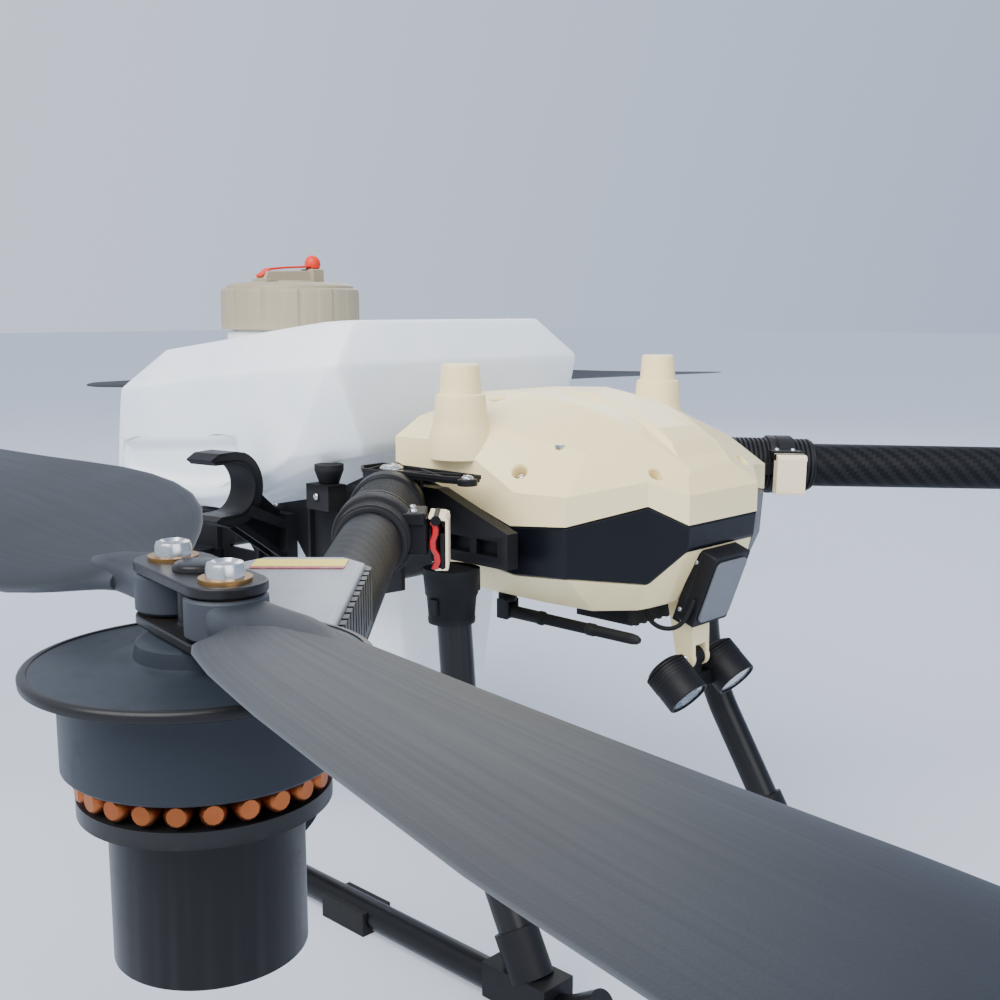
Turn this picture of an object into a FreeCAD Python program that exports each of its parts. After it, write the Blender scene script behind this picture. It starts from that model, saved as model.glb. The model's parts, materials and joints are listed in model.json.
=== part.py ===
"""Agricultural spray drone with four folding arms: every separate piece as closed solids, one STEP per node.

Frame: millimetres, +Z up, nose towards -Y, the drone's left towards +X. The origin is on the ground, on the
centre plane, midway between the front and rear arm hinges.
"""
import FreeCAD, Part

import math
import os

V = FreeCAD.Vector
UP = V(0, 0, 1)
RIGHT, LEFT = -1, 1

# driving dimensions
HINGE_X = 200.0
HINGE_Y = 216.0
ARM_LENGTH = 718.0
ARM_SPLAY = 43.4
TUBE_R = 25.0
TUBE_WALL = 2.0
FRONT = {"name": "front", "z": 438.0, "tilt": -1.4, "splay": 180.0 + ARM_SPLAY, "pivot_y": -HINGE_Y}
REAR = {"name": "rear", "z": 313.0, "tilt": 5.7, "splay": 180.0 - ARM_SPLAY, "pivot_y": HINGE_Y}
MOTOR_R = 60.0
BLADE_PLANE = 95.0
BLADE_TIP_R = 650.0
BLADE_PIVOT_R = 22.5
HINGE_PIN_R = 8.0
PIN_CLEARANCE = 0.05
FRONT_BLADE_LINE = {RIGHT: 80.0, LEFT: 43.6}
REAR_BLADE_LINE = {RIGHT: 26.4, LEFT: -26.4}
PLATE_X = 158.0
PLATE_T = 5.0
RAIL_X = 171.5
RAIL_T = 13.5
LEG_X = 195.0
LEG_Y = 290.0
LEG_R = 15.8
LEG_FOOT_Z = 46.0
SKID_Z = 16.0
SKID_R = 14.0
HOOK_Y = 0.0
HOOK_X = 240.0
HOOK_Z = 432.5
FOLDED_SPLAY = 10.5
TANK_X = 190.0
CAP_Y = 200.0
CAP_R = 86.0
SHELL_T = 3.0
GAP = 0.3


# basic solids
def block(x0, x1, y0, y1, z0, z1):
    """A box between two corners, in any order along each axis."""
    low = V(min(x0, x1), min(y0, y1), min(z0, z1))
    return Part.makeBox(abs(x1 - x0), abs(y1 - y0), abs(z1 - z0), low)


def centred(x, y, z, size_x, size_y, size_z):
    """A box about its centre."""
    return block(x - size_x / 2, x + size_x / 2, y - size_y / 2, y + size_y / 2, z - size_z / 2, z + size_z / 2)


def rod(start, end, radius):
    """A round rod between two points."""
    start, end = V(*start), V(*end)
    return Part.makeCylinder(radius, (end - start).Length, start, end - start)


def taper(start, end, radius_start, radius_end):
    """A cone frustum between two points."""
    start, end = V(*start), V(*end)
    return Part.makeCone(radius_start, radius_end, (end - start).Length, start, end - start)


def pipe(start, end, outer, inner):
    """An open tube between two points."""
    start, end = V(*start), V(*end)
    over = (end - start).normalize()
    return rod(start, end, outer).cut(rod(start - over, end + over, inner))


def prism(points, direction):
    """A flat outline pushed along a direction."""
    corners = [V(*p) for p in points]
    return Part.Face(Part.makePolygon(corners + corners[:1])).extrude(V(*direction))


def fused(pieces):
    """One solid from pieces that overlap."""
    whole = pieces[0]
    if len(pieces) > 1:
        whole = whole.multiFuse(pieces[1:])
    return whole.removeSplitter()


def mirrored(shape):
    """The same shape on the other side of the centre plane."""
    return shape.mirror(V(0, 0, 0), V(1, 0, 0))


def on_side(shape, side):
    """A shape modelled on the right, kept there or mirrored to the left."""
    return shape if side == RIGHT else mirrored(shape)


def both_sides(pieces):
    """The right-hand pieces and their mirror images, as separate solids."""
    return pieces + [mirrored(p) for p in pieces]


def triangle(a, b, c):
    return Part.Face(Part.makePolygon([a, b, c, a]))


def stacked(rings):
    """A closed solid through rings of points, each ring with the same number of points, capped at both ends."""
    rings = [[V(*p) for p in ring] for ring in rings]
    faces = []
    count = len(rings[0])
    for low, high in zip(rings, rings[1:]):
        for i in range(count):
            j = (i + 1) % count
            faces.append(triangle(low[i], low[j], high[j]))
            faces.append(triangle(low[i], high[j], high[i]))
    for ring in (rings[0], rings[-1]):
        middle = sum(ring, V(0, 0, 0)) * (1.0 / count)
        for i in range(count):
            faces.append(triangle(ring[i], ring[(i + 1) % count], middle))
    shell = Part.makeShell(faces)
    solid = Part.makeSolid(shell)
    if solid.Volume < 0:
        solid.reverse()
    return solid


def whole_ring(right_half):
    """A ring from its right half, listed from the rear round the nose side, mirrored onto the left."""
    return right_half + [(-x, y, z) for x, y, z in reversed(right_half)]


def inset(ring, by_side, by_z):
    """A ring moved inwards from both sides and from the front, and down."""
    moved = []
    rear = max(y for _, y, _ in ring)
    for x, y, z in ring:
        step_y = -by_side if y > rear - 1 else by_side
        moved.append((x - math.copysign(by_side, x), y + step_y, z - by_z))
    return moved


# bent tubes: straight runs joined by tangent arcs
def bent_path(points, share=0.45):
    """A wire along points, its corners rounded by the largest arc that the two runs allow; also the arcs' radii."""
    points = [V(*p) for p in points]
    edges, radii = [], []
    start = points[0]
    for before, corner, after in zip(points, points[1:], points[2:]):
        run_in, run_out = (before - corner), (after - corner)
        turn = math.pi - run_in.getAngle(run_out)
        trim = share * min(run_in.Length, run_out.Length)
        radii.append(trim / math.tan(turn / 2))
        run_in.normalize()
        run_out.normalize()
        arc_start, arc_end = corner + run_in * trim, corner + run_out * trim
        bisector = (run_in + run_out).normalize()
        centre = corner + bisector * (trim / math.sin(turn / 2))
        middle = centre - bisector * radii[-1]
        edges.append(Part.LineSegment(start, arc_start).toShape())
        edges.append(Part.Arc(arc_start, middle, arc_end).toShape())
        start = arc_end
    edges.append(Part.LineSegment(start, points[-1]).toShape())
    return Part.Wire(edges), radii


def bent_rod(points, radius, share=0.45):
    """A round rod along a bent path."""
    path, _ = bent_path(points, share)
    direction = V(*points[1]) - V(*points[0])
    profile = Part.Wire(Part.makeCircle(radius, V(*points[0]), direction))
    return path.makePipeShell([profile], True, False)


# arms are modelled along +X from their hinge axis, then turned and tilted into place
def placed(shape, arm, side, tilted=True):
    """An arm piece moved from the arm's own frame to the aircraft: tilt, turn, then shift to the hinge."""
    moved = shape.copy()
    if tilted:
        moved.rotate(V(0, 0, 0), V(0, 1, 0), -arm["tilt"])
    moved.rotate(V(0, 0, 0), UP, arm["splay"])
    moved.translate(V(-HINGE_X, arm["pivot_y"], arm["z"]))
    return on_side(moved, side)


def motor_centre(arm, side):
    """The point on the motor axis at the height of the arm's tube, and the blade plane's height."""
    reach = ARM_LENGTH * math.cos(math.radians(arm["tilt"]))
    height = arm["z"] + ARM_LENGTH * math.sin(math.radians(arm["tilt"]))
    turn = math.radians(arm["splay"])
    x = -HINGE_X + reach * math.cos(turn)
    y = arm["pivot_y"] + reach * math.sin(turn)
    return V(-side * x if side == LEFT else x, y, height)


KNUCKLE_R = 26.0
KNUCKLE_HALF = 20.0
ROOT_SLEEVE_R = 31.0
ROOT_END = 190.0
LATCH_X = 152.0
TUBE_START = 70.0
TUBE_END = 655.0


def arm_root(arm, side):
    """The moulded root: hinge knuckle, hooded socket, two ribbed sleeves and a clamp collar round the tube."""
    body = rod((30, 0, 0), (ROOT_END, 0, 0), ROOT_SLEEVE_R - 1.5)
    ribs = [rod((x, 0, 0), (x + 5, 0, 0), ROOT_SLEEVE_R) for x in range(62, 132, 9)]
    ribs += [rod((x, 0, 0), (x + 5, 0, 0), ROOT_SLEEVE_R) for x in range(170, 188, 9)]
    collar = rod((LATCH_X - 14, 0, 0), (LATCH_X + 14, 0, 0), 34)
    clamp_ear = block(LATCH_X - 12, LATCH_X + 12, 28, 44, -14, 14)
    bore = rod((TUBE_START, 0, 0), (ROOT_END + 1, 0, 0), TUBE_R)
    sleeve = fused([body, collar, clamp_ear] + ribs).cut(bore)
    knuckle = rod((0, 0, -KNUCKLE_HALF), (0, 0, KNUCKLE_HALF), KNUCKLE_R)
    neck = block(0, 44, -20, 20, -KNUCKLE_HALF, KNUCKLE_HALF)
    pin_hole = rod((0, 0, -60), (0, 0, 60), HINGE_PIN_R + PIN_CLEARANCE)
    return fused([placed(sleeve, arm, side), placed(fused([knuckle, neck]), arm, side, tilted=False)]).cut(
        placed(pin_hole, arm, side, tilted=False))


def arm_tube(arm, side):
    """The round carbon tube from inside the root to the motor mount."""
    return placed(pipe((TUBE_START, 0, 0), (TUBE_END, 0, 0), TUBE_R, TUBE_R - TUBE_WALL), arm, side)


def motor_pod(arm, side):
    """The tube end clamp, the speed controller's finned housing and the motor's fixed base."""
    flip = 1 if arm is FRONT else -1
    clamp = fused([rod((590, 0, 0), (650, 0, 0), TUBE_R + 6), rod((640, 0, 0), (ARM_LENGTH - 20, 0, 0), TUBE_R + 2.5)])
    tube_hole = rod((580, 0, 0), (TUBE_END, 0, 0), TUBE_R)
    housing = prism([(505, -36, 0), (490, -24, 0), (490, 24, 0), (505, 36, 0), (625, 36, 0), (640, 24, 0),
                     (640, -24, 0), (625, -36, 0)], (0, 0, 30))
    housing.translate(V(0, 0, 26.5))
    saddle = block(500, 632, -20, 20, 14, 40)
    controller = fused([housing, saddle])
    fins = [block(x, x + 3, side_y, side_y + 8, 30, 60) for x in range(512, 624, 10) for side_y in (-40, 32)]
    controller = controller.cut(fused(fins))
    if flip < 0:
        controller.rotate(V(0, 0, 0), V(1, 0, 0), 180)
    tube_clear = rod((480, 0, 0), (TUBE_END, 0, 0), TUBE_R)
    pod = placed(fused([clamp, controller]).cut(fused([tube_clear, tube_hole])), arm, side)
    centre = motor_centre(arm, side)
    base = Part.makeCylinder(34, 58, centre + V(0, 0, -30), UP)
    flange = Part.makeCylinder(44, 6, centre + V(0, 0, 24), UP)
    return fused([pod, base, flange])


def rotor(arm, side):
    """The motor's turning bell, its shaft boss and the plate that carries both blade bolts."""
    centre = motor_centre(arm, side)
    line = blade_line(arm, side)
    bell = Part.makeCylinder(MOTOR_R - 3, 36, centre + V(0, 0, 30.5), UP)
    rim = Part.makeCylinder(MOTOR_R, 9, centre + V(0, 0, 60), UP)
    boss = Part.makeCylinder(22, 20, centre + V(0, 0, 66), UP)
    plates = []
    for height in (BLADE_PLANE - 12, BLADE_PLANE + 7.5):
        plate = centred(0, 0, 2, 2 * BLADE_PIVOT_R, 28, 4)
        ends = [Part.makeCylinder(14, 4, V(s * BLADE_PIVOT_R, 0, 0), UP) for s in (-1, 1)]
        plate = fused([plate] + ends)
        plate.translate(V(0, 0, height))
        plates.append(plate)
    web = rod((0, 0, BLADE_PLANE - 10), (0, 0, BLADE_PLANE + 10), 7.5)
    bolts = []
    for s in (-1, 1):
        x = s * BLADE_PIVOT_R
        bolts.append(rod((x, 0, BLADE_PLANE - 12), (x, 0, BLADE_PLANE + 12), 4))
        bolts.append(rod((x, 0, BLADE_PLANE + 11), (x, 0, BLADE_PLANE + 18), 6.5))
    top = fused(plates + [web] + bolts)
    top.rotate(V(0, 0, 0), UP, line)
    top.translate(centre)
    return fused([bell, rim, boss, top])


def blade_line(arm, side):
    """The direction in plan, in degrees, of a propeller's blades at rest."""
    return (FRONT_BLADE_LINE if arm is FRONT else REAR_BLADE_LINE)[side]


BLADE_STATIONS = ((30, 30, 13, 8.0), (75, 62, 12, 17.0), (140, 112, 9.5, 17.0), (230, 118, 8, 14.0),
                  (340, 104, 6.5, 11.0), (450, 88, 5.2, 9.0), (560, 70, 4, 7.0), (615, 54, 3, 6.0),
                  (BLADE_TIP_R - BLADE_PIVOT_R, 22, 2.2, 5.0))


def blade_section(radius, chord, thickness, twist, spin):
    """A closed lens-shaped section across the blade at one radius."""
    half = chord / 2
    lead, trail = V(radius, half * 0.9, 0), V(radius, -half * 1.1, 0)
    upper = V(radius, half * 0.15, thickness * 0.62)
    lower = V(radius, half * 0.1, -thickness * 0.38)
    edges = [Part.Arc(lead, upper, trail).toShape(), Part.Arc(trail, lower, lead).toShape()]
    wire = Part.Wire(edges)
    wire.rotate(V(0, 0, 0), V(1, 0, 0), spin * twist)
    return wire


def blade(arm, side, end):
    """One blade: a lofted twisted wing with a round eye on its bolt. End 0 lies along the blade line, 1 opposite."""
    spin = 1 if (arm is FRONT) == (side == LEFT) else -1
    wing = Part.makeLoft([blade_section(*station, spin) for station in BLADE_STATIONS], True, False)
    eye = Part.makeCylinder(14, 14, V(0, 0, -7), UP)
    neck = block(0, 52, -11, 11, -6, 6)
    hole = Part.makeCylinder(4 + PIN_CLEARANCE, 20, V(0, 0, -10), UP)
    solid = fused([wing, eye, neck]).cut(hole)
    solid.translate(V(BLADE_PIVOT_R, 0, BLADE_PLANE))
    solid.rotate(V(0, 0, 0), UP, blade_line(arm, side) + 180 * end)
    solid.translate(motor_centre(arm, side))
    return solid


def latch(arm, side):
    """The over-centre latch lever that locks an arm open: a small cover that swings up on its own pin."""
    face = 44 + GAP
    lever = block(LATCH_X - 17, LATCH_X + 17, face, face + 11, -26, 12)
    lip = block(LATCH_X - 17, LATCH_X + 17, face, face + 17, -30, -22)
    barrel = rod((LATCH_X - 17, face + 6, 14), (LATCH_X + 17, face + 6, 14), 6)
    return placed(fused([lever, lip, barrel]), arm, side)


def nozzle(side):
    """The centrifugal nozzle's stem, motor can and feed elbow under a rear motor."""
    centre = motor_centre(REAR, side)
    stem = Part.makeCylinder(9, 120, centre + V(0, 0, -150), UP)
    can = Part.makeCylinder(21, 62, centre + V(0, 0, -210), UP)
    cone = Part.makeCone(24, 15, 12, centre + V(0, 0, -160), UP)
    axle = Part.makeCylinder(4, 16, centre + V(0, 0, -226), UP)
    inward = V(-centre.x, -centre.y, 0).normalize()
    elbow = rod(centre + V(0, 0, -176), centre + V(0, 0, -176) + inward * 34, 5)
    return fused([stem, can, cone, axle, elbow])


def nozzle_disc(side):
    """The toothed disc that throws the spray off its rim."""
    centre = motor_centre(REAR, side) + V(0, 0, -223)
    disc = Part.makeCone(16, 34, 9, centre, UP)
    teeth = []
    for i in range(24):
        turn = math.radians(15 * i)
        x, y = centre.x + 34 * math.cos(turn), centre.y + 34 * math.sin(turn)
        teeth.append(Part.makeCylinder(1.6, 14, V(x, y, centre.z - 2), UP))
    return disc.cut(fused(teeth)).cut(Part.makeCylinder(4 + PIN_CLEARANCE, 20, centre - V(0, 0, 5), UP))


# nose covers: faceted rings listed from the rear corner, forward along the flank and round to the nose block
TOP_RIM = [(-170, -188, 494), (-165, -263, 494), (-160, -335, 453), (-160, -395, 455), (-85, -427, 464), (-56, -451, 451)]
PARTING = [(-170, -188, 470), (-165, -263, 446), (-158, -328, 422), (-160, -395, 429), (-85, -427, 442), (-56, -451, 424)]
BAND_LOW = [(-164, -188, 404), (-162, -263, 388), (-154, -328, 376), (-157, -393, 382), (-84, -425, 370), (-55, -449, 401)]
BELLY = [(-120, -188, 352), (-120, -263, 346), (-112, -328, 343), (-104, -380, 342), (-72, -410, 342), (-44, -420, 345)]
SHOULDER = [(-142, -192, 512), (-138, -262, 511), (-126, -330, 497), (-112, -380, 488), (-70, -412, 478), (-46, -442, 463)]
SPINE = [(-56, -196, 532), (-60, -262, 534), (-58, -330, 524), (-52, -370, 510), (-44, -410, 490), (-34, -436, 472)]
POST_X, POST_Y = 153.0, -260.0


def nose_top_cover():
    """The faceted upper cover with a raised spine and its two moulded antenna posts, hollow underneath."""
    outer = stacked([whole_ring(r) for r in (PARTING, TOP_RIM, SHOULDER, SPINE)])
    below = [(x, y, z - 8) for x, y, z in inset(whole_ring(PARTING), SHELL_T, 0)]
    inner = stacked([below] + [inset(whole_ring(r), SHELL_T, SHELL_T) for r in (TOP_RIM, SHOULDER, SPINE)])
    shell = outer.cut(inner)
    posts = []
    for x in (-POST_X, POST_X):
        posts.append(taper((x, POST_Y, 494), (x, POST_Y, 512), 29, 25))
        posts.append(taper((x, POST_Y, 511), (x, POST_Y, 537), 24.5, 23))
        posts.append(taper((x, POST_Y, 536), (x, POST_Y, 565), 19.5, 17.5))
    return fused([shell] + posts)


def nose_mid_band():
    """The dark side band between the two covers, open above and below."""
    outer = stacked([whole_ring(BAND_LOW), whole_ring([(x, y, z - GAP) for x, y, z in PARTING])])
    low = [(x, y, z - 40) for x, y, z in inset(whole_ring(BAND_LOW), SHELL_T, 0)]
    high = [(x, y, z + 40) for x, y, z in inset(whole_ring(PARTING), SHELL_T, 0)]
    middle = inset(whole_ring([(x, y, (a + b) / 2) for (x, y, a), (_, _, b) in zip(PARTING, BAND_LOW)]), SHELL_T, 0)
    return outer.cut(stacked([low, middle, high]))


def nose_lower_shell():
    """The shallow belly pan under the band."""
    top = whole_ring([(x * 0.985, y * 0.998, z - GAP) for x, y, z in BAND_LOW])
    outer = stacked([whole_ring(BELLY), top])
    above = [(x, y, z + 30) for x, y, z in inset(top, SHELL_T, 0)]
    inner = stacked([inset(whole_ring(BELLY), SHELL_T, -SHELL_T), inset(top, SHELL_T, -1), above])
    radar_recess = block(-36, 36, -470, -398, 300, 400.5)
    return outer.cut(inner).cut(radar_recess)


def flight_electronics():
    """The sealed flight controller and power boards inside the nose, with the terminal box under the belly pan."""
    return [centred(0, -300, 405, 180, 150, 56), centred(0, -290, 462, 120, 90, 34), block(-60, 40, -392, -325, 322, 341.5)]


# frame
PLATE_OUTLINE = [(-186, 340), (-186, 448), (-130, 448), (-60, 420), (126, 384), (330, 372), (330, 345),
                 (240, 286), (120, 286), (60, 330), (-150, 330)]


def side_plates():
    """Two moulded side plates that carry the hinges, tank seats and legs, with stiffening ribs and cut-outs."""
    plate = prism([(-PLATE_X, y, z) for y, z in PLATE_OUTLINE], (-PLATE_T, 0, 0))
    windows = [prism([(-PLATE_X + 1, y0, z0), (-PLATE_X + 1, y1, z0), (-PLATE_X + 1, (y0 + y1) / 2, z1)],
                     (-PLATE_T - 2, 0, 0)) for y0, y1, z0, z1 in ((-40, 30, 345, 385), (60, 110, 345, 370))]
    plate = plate.cut(fused(windows))
    ribs = [block(-PLATE_X - PLATE_T, -PLATE_X - PLATE_T - 6, y, y + 4, 340, z) for y, z in
            ((-96, 425), (-50, 412), (44, 392), (125, 380), (300, 370))]
    spacer = block(-PLATE_X - PLATE_T, -RAIL_X - 1, -186, -125, 366, 440)
    rail = prism([(-RAIL_X, -350, 388), (-RAIL_X, -350, 420), (-RAIL_X, -262, 452), (-RAIL_X, -189, 452),
                  (-RAIL_X, -189, 400), (-RAIL_X, -120, 400), (-RAIL_X, -120, 372), (-RAIL_X, -240, 372),
                  (-RAIL_X, -262, 388)], (-RAIL_T, 0, 0))
    knuckle_room = rod((-HINGE_X, -HINGE_Y, 416), (-HINGE_X, -HINGE_Y, 460), KNUCKLE_R + 1)
    neck_room = block(-HINGE_X, -RAIL_X - 1.5, -HINGE_Y, -180, 412, 460)
    pockets = [block(-RAIL_X - 6, -RAIL_X - RAIL_T - 1, y, y + 26, 398, 412) for y in (-338, -304)]
    return both_sides([fused([plate, spacer, rail.cut(fused(pockets + [knuckle_room, neck_room]))] + ribs)])


def cross_beams():
    """Four cross tubes that tie the side plates together."""
    half = PLATE_X
    return [pipe((-half, y, z), (half, y, z), 14, 12) for y, z in ((-172, 362), (-140, 362), (236, 330), (280, 350))]


def hinge_bracket(arm, side):
    """A fork: upper and lower cheeks either side of the arm's knuckle, on a back plate."""
    z, y = arm["z"], arm["pivot_y"]
    inner = -RAIL_X - RAIL_T if arm is FRONT else -PLATE_X - PLATE_T
    cheeks = []
    for low in (z - KNUCKLE_HALF - 8.5, z + KNUCKLE_HALF + 1.5):
        round_end = rod((-HINGE_X, y, low), (-HINGE_X, y, low + 7), 27)
        cheeks.append(fused([round_end, block(inner, -HINGE_X, y - 27, y + 27, low, low + 7)]))
    back = block(inner, inner - 4, y - 27, y + 27, z - KNUCKLE_HALF - 8.5, z + KNUCKLE_HALF + 8.5)
    back = back.cut(rod((-HINGE_X, y, z - 20), (-HINGE_X, y, z + 20), KNUCKLE_R + 1))
    back = back.cut(block(inner + 1, inner - 5, y, y + 28, z - KNUCKLE_HALF - 1, z + KNUCKLE_HALF + 1))
    hole = rod((-HINGE_X, y, z - 60), (-HINGE_X, y, z + 60), HINGE_PIN_R)
    return on_side(fused(cheeks + [back]).cut(hole), side)


def hinge_pin(arm, side):
    """A shouldered hinge bolt with a button head."""
    z, y = arm["z"], arm["pivot_y"]
    x = -HINGE_X
    shank = rod((x, y, z - KNUCKLE_HALF - 14), (x, y, z + KNUCKLE_HALF + 9), HINGE_PIN_R)
    head = taper((x, y, z + KNUCKLE_HALF + 8.5), (x, y, z + KNUCKLE_HALF + 13.5), 12, 8)
    nut = rod((x, y, z - KNUCKLE_HALF - 16.5), (x, y, z - KNUCKLE_HALF - 8.5), 12)
    return on_side(fused([shank, head, nut]), side)


PAD_Y = 160.0
PAD_HALF = 32.0
PAD_SCREW_R = 3.0
LEG_TOPS = {-1: -LEG_Y, 1: 140.0}
LEG_FOOT_Y = {-1: -395.0, 1: 230.0}


def leg_socket(end):
    """The tapered socket that hangs from the side plate and grips a leg."""
    y = LEG_TOPS[end]
    top = 384 if end < 0 else 344
    body = Part.makeLoft([Part.makePolygon([V(-LEG_X + s * a, y + t * b, z) for s, t in
                                            ((-1, -1), (1, -1), (1, 1), (-1, 1), (-1, -1))])
                          for z, a, b in ((top, 25, 27), (top - 24, 23, 24), (top - 50, 19.5, 19.5))], True, True)
    inner = -RAIL_X - 3 if end < 0 else -PLATE_X - PLATE_T + 2
    strap = block(inner, -LEG_X + 8, y - 18, y + 18, top - 22, top + (9 if end < 0 else -2))
    hole = rod((-LEG_X, y, top - 60), (-LEG_X, y, top - 12), 16)
    return fused([body, strap]).cut(hole)


def leg_route(end):
    """The leg's corner points: down from its socket, then out to the skid."""
    y = LEG_TOPS[end]
    top = 371 if end < 0 else 331
    return [(-LEG_X, y, top), (-LEG_X - 2, y + end * 14, 236), (-LEG_X - 6, y + end * 28, 180),
            (-LEG_X - 12, LEG_FOOT_Y[end], LEG_FOOT_Z)]


def landing_leg(end):
    """A round bent leg from its socket to its foot."""
    return bent_rod(leg_route(end), LEG_R, 0.4)


def skid_tube():
    """A long ground tube with turned-up ends, drilled from below where its shoes' screws go in."""
    x = -LEG_X - 12
    points = [(x, -480, 40), (x, -440, SKID_Z), (x, 330, SKID_Z), (x, 370, 40)]
    screw_rooms = [rod((x, y, 0), (x, y, 8), PAD_SCREW_R + 0.5) for y in (-PAD_Y, PAD_Y)]
    return bent_rod(points, SKID_R, 0.3).cut(fused(screw_rooms))


def leg_foot(end):
    """The saddle that joins a leg to its skid, with a collar in line with the leg."""
    x, y = -LEG_X - 12, LEG_FOOT_Y[end]
    ankle = V(x, y, LEG_FOOT_Z)
    along = (V(*leg_route(end)[2]) - ankle).normalize()
    collar = rod(ankle - along * 14, ankle + along * 30, 20)
    saddle = fused([block(x - 19, x + 19, y - 37, y + 37, 7, 40), collar])
    skid_hole = rod((x, y - 60, SKID_Z), (x, y + 60, SKID_Z), SKID_R)
    leg_hole = rod(ankle, ankle + along * 60, LEG_R)
    return saddle.cut(skid_hole).cut(leg_hole)


def skid_pad(y):
    """A rubber shoe under a skid, with one screw hole from below."""
    x = -LEG_X - 12
    shoe = centred(x, y, SKID_Z - 4, 36, 2 * PAD_HALF, 24)
    shoe = shoe.cut(rod((x, y - 60, SKID_Z), (x, y + 60, SKID_Z), SKID_R))
    return shoe.cut(rod((x, y, -1), (x, y, SKID_Z), PAD_SCREW_R))


def arm_hook():
    """An open C-shaped rest, mouth outwards, on a fan-ribbed bracket: it holds the folded front arm's tube."""
    inner, outer, half = 26.5, 36.0, 18.0
    ring = rod((0, -half, 0), (0, half, 0), outer).cut(rod((0, -half - 1, 0), (0, half + 1, 0), inner))
    ring = ring.cut(block(-outer - 1, 0, -half - 1, half + 1, -outer - 1, outer + 1))
    upper_lip = prism([(1, -half, inner), (1, -half, outer), (-24, -half, outer + 1), (-33, -half, outer - 4),
                       (-28, -half, inner)], (0, 2 * half, 0))
    lower_lip = prism([(1, -half, -inner), (-22, -half, -inner), (-30, -half, -inner - 4), (-8, -half, -outer - 3),
                       (1, -half, -outer)], (0, 2 * half, 0))
    cradle = fused([ring, upper_lip, lower_lip])
    cradle.rotate(V(0, 0, 0), UP, FOLDED_SPLAY)
    back = HOOK_X - PLATE_X - PLATE_T
    post = block(back - 12, back + 1, -half, half, -92, -34)
    web = prism([(34, -2.5, 16), (36, -2.5, -4), (back - 4, -2.5, -38), (back - 4, -2.5, -90), (12, -2.5, -36),
                 (27.5, -2.5, -18)], (0, 5, 0))
    struts = [prism([(24, y, -20), (back - 4, y, -44), (back - 4, y, -54), (18, y, -30)], (0, 5, 0)) for y in (-16, 11)]
    struts += [prism([(6, y, -33), (back - 4, y, -84), (back - 4, y, -91), (-2, y, -36)], (0, 5, 0)) for y in (-16, 11)]
    whole = fused([cradle, post, web] + struts)
    whole.translate(V(-HOOK_X, HOOK_Y, HOOK_Z))
    return whole


def tank_seat():
    """A flared rubber damper on a small screwed box, under a front corner of the tank."""
    x, y = -170, -85
    return fused([block(-PLATE_X - PLATE_T, x - 16, y - 18, y + 18, 412, 438), taper((x, y, 438), (x, y, 452), 10, 15),
                  rod((x, y, 452), (x, y, 457.8), 15)])


def rear_housing():
    """The rear bay that the battery slides into: a box open to the rear, on the side plates."""
    outer = block(-122, 122, 352, 520, 300, 384)
    bay = block(-114, 114, 360, 530, 308, 377)
    lugs = [block(s * 110, s * PLATE_X, 300, 366, 344, 366) for s in (-1, 1)]
    lugs = [lug.cut(block(-114, 114, 353, 530, 308, 377)) for lug in lugs]
    top = prism([(-112, 345, 383), (112, 345, 383), (96, 500, 383), (-96, 500, 383)], (0, 0, 9))
    return fused([outer.cut(bay), top] + lugs)


def battery_pack():
    """The slide-in battery, with a carrying handle at its outer end."""
    case = block(-108, 108, 366, 560, 309, 371)
    posts = [block(s * 70, s * 60, 556, 590, 332, 348) for s in (-1, 1)]
    bar = rod((-70, 586, 340), (70, 586, 340), 8)
    return fused([case, bar] + posts)


def pumps():
    """Two liquid pumps hung under the rear cross beam."""
    solids = []
    for x in (-96, 96):
        body = rod((x, 196, 262), (x, 262, 262), 30)
        head = centred(x, 186, 262, 58, 22, 62)
        hanger = block(x - 12, x + 12, 224, 248, 288, 318)
        spout = rod((x, 186, 290), (x, 186, 312), 7)
        solids.append(fused([body, head, hanger, spout]))
    return solids


HOSE_R = 5.0


def liquid_hose(side):
    """The clipped pressure hose from a pump to the rear arm's inlet fitting on the side plate."""
    points = [(-96, 174.5, 250), (-96, 130, 262), (-130, 100, 300), (-151, 130, 318), (-151, 180, 322)]
    return on_side(bent_rod(points, HOSE_R), side)


# tank: rings of a blow-moulded body, right half from rear to front
TANK_FOOT = [(-150, 334, 398), (-176, 298, 402), (-176, -86, 461), (-150, -112, 466)]
TANK_WAIST = [(-158, 340, 410), (-TANK_X, 306, 414), (-TANK_X, -92, 474), (-164, -118, 478)]
TANK_EDGE = [(-158, 328, 500), (-TANK_X, 290, 520), (-TANK_X, -70, 566), (-160, -116, 570)]
TANK_TOP = [(-100, 292, 560), (-142, 262, 566), (-150, -46, 602), (-128, -92, 604)]
SUMP_TOP = [(-110, 190, 440), (-120, 150, 440), (-120, -60, 466), (-100, -90, 470)]
SUMP_LOW = [(-60, 90, 178), (-80, 60, 176), (-80, -50, 176), (-60, -80, 178)]
TANK_WALL = 3.0
NECK_R = 66.0


def tank_ring(ring, wall):
    return whole_ring([(x + wall, y - math.copysign(wall, y), z) for x, y, z in ring])


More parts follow.
